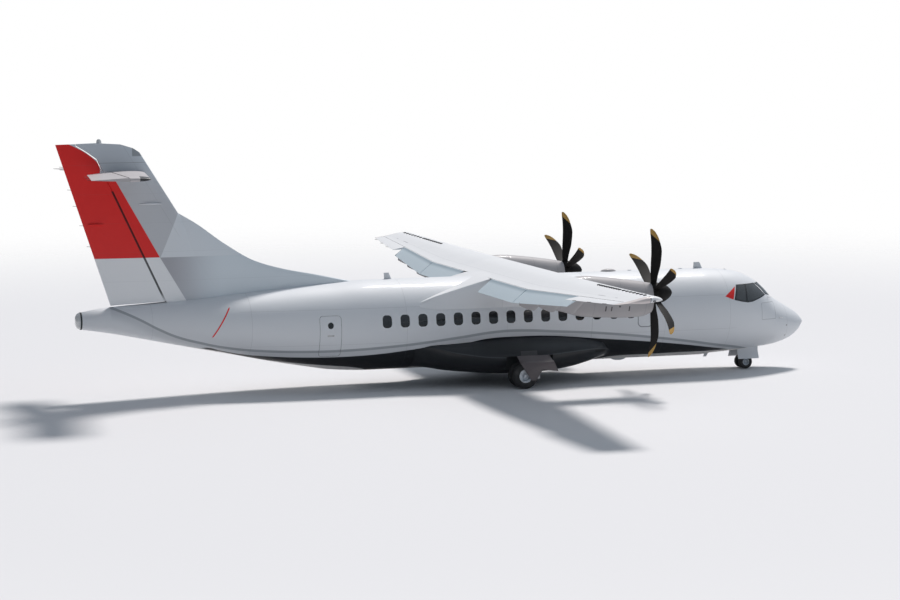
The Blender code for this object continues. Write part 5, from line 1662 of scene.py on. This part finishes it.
def blade(lowX, highX, foot, top, thick):
    # a swept aerial with a thin airfoil section
    def place(u, v):
        turn = math.tau * u
        chord = (highX - lowX) * (1 - 0.35 * v)
        x = highX - 0.10 * v - chord * (0.5 - 0.5 * math.cos(turn))
        return Vector((x, thick * math.sin(turn) * (1 - 0.4 * v), foot + (top - foot) * v))
    return sheetOf(place, 20, 6)


def dome(middle, halfX, halfY, height):
    # a low rounded cover with its foot sunk in the skin below
    middle = Vector(middle)

    def place(u, v):
        turn, lift = math.tau * u, math.pi / 2 * v
        out = math.cos(lift) ** 0.7 if v < 1 else 0.0
        return middle + Vector((halfX * out * math.cos(turn), halfY * out * math.sin(turn),
                                height * math.sin(lift) - 0.03 * (1 - v) * (1 if height > 0 else -1)))
    return sheetOf(place, 32, 10)


fittings = {
    # crown and belly covers: x, half length, half width, height; a low one points down
    "grey": ((-0.58, 0.27, 0.11, 0.085), (5.56, 0.28, 0.13, 0.080)),
    "white": ((6.30, 0.09, 0.05, 0.035), (8.10, 0.09, 0.05, 0.035), (9.68, 0.06, 0.05, 0.030),
              (5.91, 0.28, 0.12, -0.075)),
    "fairingTop": 2.99,    # the wing fairing's crown under the first grey cover
    # rear and front end, foot, top, half thickness
    "antennaFront": (8.56, 8.88, 3.385, 3.60, 0.012), "antennaRear": (-2.05, -1.80, 3.375, 3.60, 0.012),
    "bellyBlade": (8.98, 9.14, 0.60, 0.44, 0.010),
    # heights on the rudder and places along the span
    "rudderWicks": (4.7, 5.35, 5.95, 6.45, 7.15), "aileronWicks": (9.7, 10.7, 11.7),
    "elevatorWicks": (1.7, 2.6, 3.4),
    # actuator covers on fin and rudder: x, z, half length
    "finCovers": (-9.52, 5.98, 0.35), "rudderCovers": (-11.17, 5.38, 0.27),
    # x and z on the nose
    "probes": ((10.86, 2.44), (11.25, 1.75)), "ports": ((11.583, 1.474), (11.586, 1.122)),
    "tailLamp": Vector((-11.74, 0.0, 2.43)), "beacon": (-11.05, 0.0, 7.872), "tipLamp": (2.20, 12.325, 3.775),
    # radius, height
    "beaconForm": ((0.0, 0.120), (0.040, 0.112), (0.070, 0.075), (0.078, 0.0), (0.098, -0.008),
                   (0.098, -0.02)),
    "lampRing": ((0.250, 0.0), (0.268, 0.0), (0.268, 0.05), (0.262, 0.056), (0.250, 0.056)),
}


def makeCovers():
    for title, finish in (("grey", nacellePaint), ("white", whitePaint)):
        parts = []
        for x, halfX, halfY, height in fittings[title]:
            top, bottom, wide = hullAt(x)
            if title == "grey" and x < 0:
                top = fittings["fairingTop"]
            parts.append(dome((x, 0.0, top if height > 0 else bottom), halfX, halfY, height))
        if title == "white":
            parts.append(blade(*fittings["bellyBlade"]))
        makePiece(title + "Covers", gather(parts), finish, "airframe")


def makeWicks():
    # thin discharge wicks, each from just inside a trailing edge
    def wicksAt(spots):
        foot, back = Vector((0.03, 0.0, 0.0)), Vector((-0.11, 0.0, 0.012))
        return gather([rod(p + foot, p + back, 0.006, 8) for p in spots])

    onRudder = [Vector((lineAt(tail["trail"], z), 0.0, z)) for z in fittings["rudderWicks"]]
    makePiece("rudderWicks", wicksAt(onRudder), seamDark, "rudder_body")
    onElevator = [Vector((tailSection(y)[1], side * y, tailplane["z"]))
                  for y in fittings["elevatorWicks"] for side in (1, -1)]
    makePiece("elevatorWicks", wicksAt(onElevator), seamDark, "elevator_body")
    for sideName, side in sides:
        wicks = mirrored(wicksAt([surfaceAt(y, 0.0, 0.0) for y in fittings["aileronWicks"]]), side)
        makePiece("aileronWicks" + sideName.capitalize(), wicks, seamDark, "aileron_%s_body" % sideName)


# spans: first and last place, pitch
vortexTabs = {"spans": ((7.84, 9.90, 0.21), (10.06, 11.95, 0.30)), "part": 0.24,
              "long": 0.085, "wide": 0.05, "high": 0.027}


def makeVortexTabs():
    # small upright tabs along the front of the outer wings
    for sideName, side in sides:
        tabs = []
        for start, end, step in vortexTabs["spans"]:
            for i in range(int((end - start) / step) + 1):
                x, y, z = wingSkin(start + step * i, 0.5 - math.acos(1 - vortexTabs["part"]) / math.pi)
                tab = roundBox(x - vortexTabs["long"], z - 0.02, x, z + vortexTabs["high"], 0.004)
                tabs.append(prism(tab, "xz", y - vortexTabs["wide"] / 2, y + vortexTabs["wide"] / 2))
        makePiece("vortexTabs" + sideName.capitalize(), mirrored(gather(tabs), side), seamDark, "airframe")


def slimCover(x, y, z, half, side):
    # a spindle that lies along the fin's face
    def place(u, v):
        swell = math.sin(math.pi * (0.1 + 0.8 * v))
        out = side * (y + 0.03 * math.sin(math.pi * v)) + 0.040 * math.sin(math.tau * u) * swell
        return Vector((x + half * (2 * v - 1), out, z + 0.032 * math.cos(math.tau * u) * swell))
    return sheetOf(place, 20, 16)


def makeSlimCovers():
    # actuator covers on both faces of fin and rudder
    for name, finish, body in (("finCovers", whitePaint, "airframe"),
                               ("rudderCovers", finPaint, "rudder_body")):
        x, z, half = fittings[name]
        lead = lineAt(tail["lead"], z)
        chord = lead - lineAt(tail["trail"], z)
        y = halfThickness((lead - x) / chord, tail["thickness"]) * chord
        makePiece(name, gather([slimCover(x, y, z, half, side) for side in (1, -1)]), finish, body)


def makeProbes():
    # bent probes and round pressure ports on both sides of the nose
    probes = []
    for side in (1, -1):
        for x, z in fittings["probes"]:
            skin = Vector((x, side * (skinY(x, z) - 0.01), z))
            arm, ahead = skin + Vector((0.0, side * 0.055, 0.0)), Vector((1.0, 0.0, 0.0))
            probes.append(rod(skin, arm, 0.010, 12))
            probes.append(rod(arm - ahead * 0.02, arm + ahead * 0.13, 0.009, 12, 0.005))
        for x, z in fittings["ports"]:
            port = roundBox(x - 0.03, z - 0.03, x + 0.03, z + 0.03, 0.028)
            probes.append(patch(port, "xz", side, 0.001, 0.004, 6))
    makePiece("noseProbes", gather(probes), gearSteel, "airframe")


def makeAntennas():
    for title, node in (("antennaFront", "antenna_front"), ("antennaRear", "antenna_rear")):
        makePiece(title, blade(*fittings[title]), whitePaint, "airframe", (node,))


def makeLamps():
    # the tail light in its ring, the beacon on the fin and the wing tips' lamps
    centre = fittings["tailLamp"]

    def place(u, v):
        shrink = math.cos(math.pi / 2 * v) ** 0.35 if v < 1 else 0.0
        return centre + Vector((-0.0005 - 0.155 * math.sin(math.pi / 2 * v),
                                (0.255 - 0.13 * v ** 2) * math.sin(math.tau * u) * shrink,
                                (0.26 - 0.14 * v ** 2) * math.cos(math.tau * u) * shrink))

    makePiece("tailLight", sheetOf(place, 48, 14), lampGlass, "airframe", ("tail_light",))
    ring = turned(fittings["lampRing"], centre + Vector((-0.012, 0, 0)), (1, 0, 0), 64)
    bmesh.ops.scale(ring, vec=(1, 0.985, 1), verts=ring.verts)
    makePiece("tailRing", ring, seamDark, "airframe")
    beacon = closed(turned(fittings["beaconForm"], fittings["beacon"], (0, 0, 1), 32))
    makePiece("finBeacon", beacon, lampGlass, "airframe")
    lamps = [mirrored(dome(fittings["tipLamp"], 0.05, 0.03, 0.02), side) for side in (1, -1)]
    makePiece("tipLamps", gather(lamps), greyLamp, "airframe")


makeAntennas()
makeLamps()
makeCovers()
makeWicks()
makeVortexTabs()
makeSlimCovers()
makeProbes()
print("fittings ready")


# stage, light and camera

studio = {
    "eye": (-23.1535, -74.7669, 10.9394), "look": (0.29518, 0.94962, -0.10531), "roll": -0.307,
    "lens": 98.21, "floorRadius": 150.0, "fadeStart": 24.0, "fadeEnd": 70.0,
    "keyAim": (-0.32, -0.45, -0.84), "keyEnergy": 3.1, "keyAngle": 11.0, "keyColour": (1.0, 0.955, 0.93),
    # the sky's light grows from behind the aircraft to ahead of it
    "skyStrength": 0.64, "rearShare": (0.36, 1.30), "floor": (0.70, 0.70, 0.71),
    # height as a share of the sphere, colour
    "sky": ((0.30, (0.32, 0.30, 0.29)), (0.485, (0.34, 0.355, 0.375)), (0.53, (0.36, 0.42, 0.48)),
            (0.70, (0.46, 0.53, 0.62)), (1.0, (0.72, 0.80, 0.90))),
}


def makeFloor():
    bm = bmesh.new()
    bmesh.ops.create_circle(bm, cap_ends=True, segments=128, radius=studio["floorRadius"])
    finish = Finish("floorPale", studio["floor"], 0.8)
    radius = (finish.x * finish.x + finish.y * finish.y).maths("SQRT")
    finish.use("Alpha", radius.rise(studio["fadeEnd"], studio["fadeStart"]))
    floor = asObject("floor", bm, [finish])
    floor.location.z = -0.002


def makeLights():
    # the camera sees plain white; the sky that lights the aircraft is a ramp over its height
    world = bpy.data.worlds.new("sky")
    scene.world = world
    world.use_nodes = True
    sky = Tree(world.node_tree)
    sky.nodes.clear()
    axes = sky.axes(sky.put("ShaderNodeTexCoord", out="Generated"))
    height = sky.put("ShaderNodeMapRange", None, {"Value": axes[2], "From Min": -1.0})
    ramp = sky.put("ShaderNodeValToRGB", {"stops": studio["sky"]}, {0: height})
    low, high = studio["rearShare"]
    sockets = {"Value": axes[0], "From Min": -1.0, "To Min": low, "To Max": high}
    share = sky.put("ShaderNodeMapRange", None, sockets)
    colour = sky.put("ShaderNodeVectorMath", {"operation": "SCALE"}, {0: ramp, "Scale": share})
    lit = sky.put("ShaderNodeBackground", None, {"Color": colour, "Strength": studio["skyStrength"]})
    seen = sky.put("ShaderNodeBackground", None, {"Color": (1.0, 1.0, 1.0, 1.0)})
    fromCamera = sky.put("ShaderNodeLightPath", out="Is Camera Ray")
    mixed = sky.put("ShaderNodeMixShader", None, {0: fromCamera, 1: lit, 2: seen})
    sky.put("ShaderNodeOutputWorld", None, {0: mixed})
    sun = bpy.data.lights.new("key", "SUN")
    sun.energy = studio["keyEnergy"]
    sun.angle = math.radians(studio["keyAngle"])
    sun.color = studio["keyColour"]
    key = bpy.data.objects.new("key", sun)
    key.rotation_euler = Vector(studio["keyAim"]).to_track_quat("-Z", "Y").to_euler()
    scene.collection.objects.link(key)


def makeCamera():
    data = bpy.data.cameras.new("camera")
    data.lens = studio["lens"]
    data.sensor_width = 36.0
    data.clip_end = 2000.0
    camera = bpy.data.objects.new("camera", data)
    look = Vector(studio["look"]).normalized()
    level = look.cross(Vector((0, 0, 1))).normalized()
    plumb = level.cross(look)
    roll = math.radians(studio["roll"])
    right = level * math.cos(roll) + plumb * math.sin(roll)
    up = plumb * math.cos(roll) - level * math.sin(roll)
    turn = Matrix((right, up, -look)).transposed().to_4x4()
    camera.matrix_world = Matrix.Translation(studio["eye"]) @ turn
    scene.collection.objects.link(camera)
    scene.camera = camera


makeFloor()
makeLights()
makeCamera()
print("studio ready")
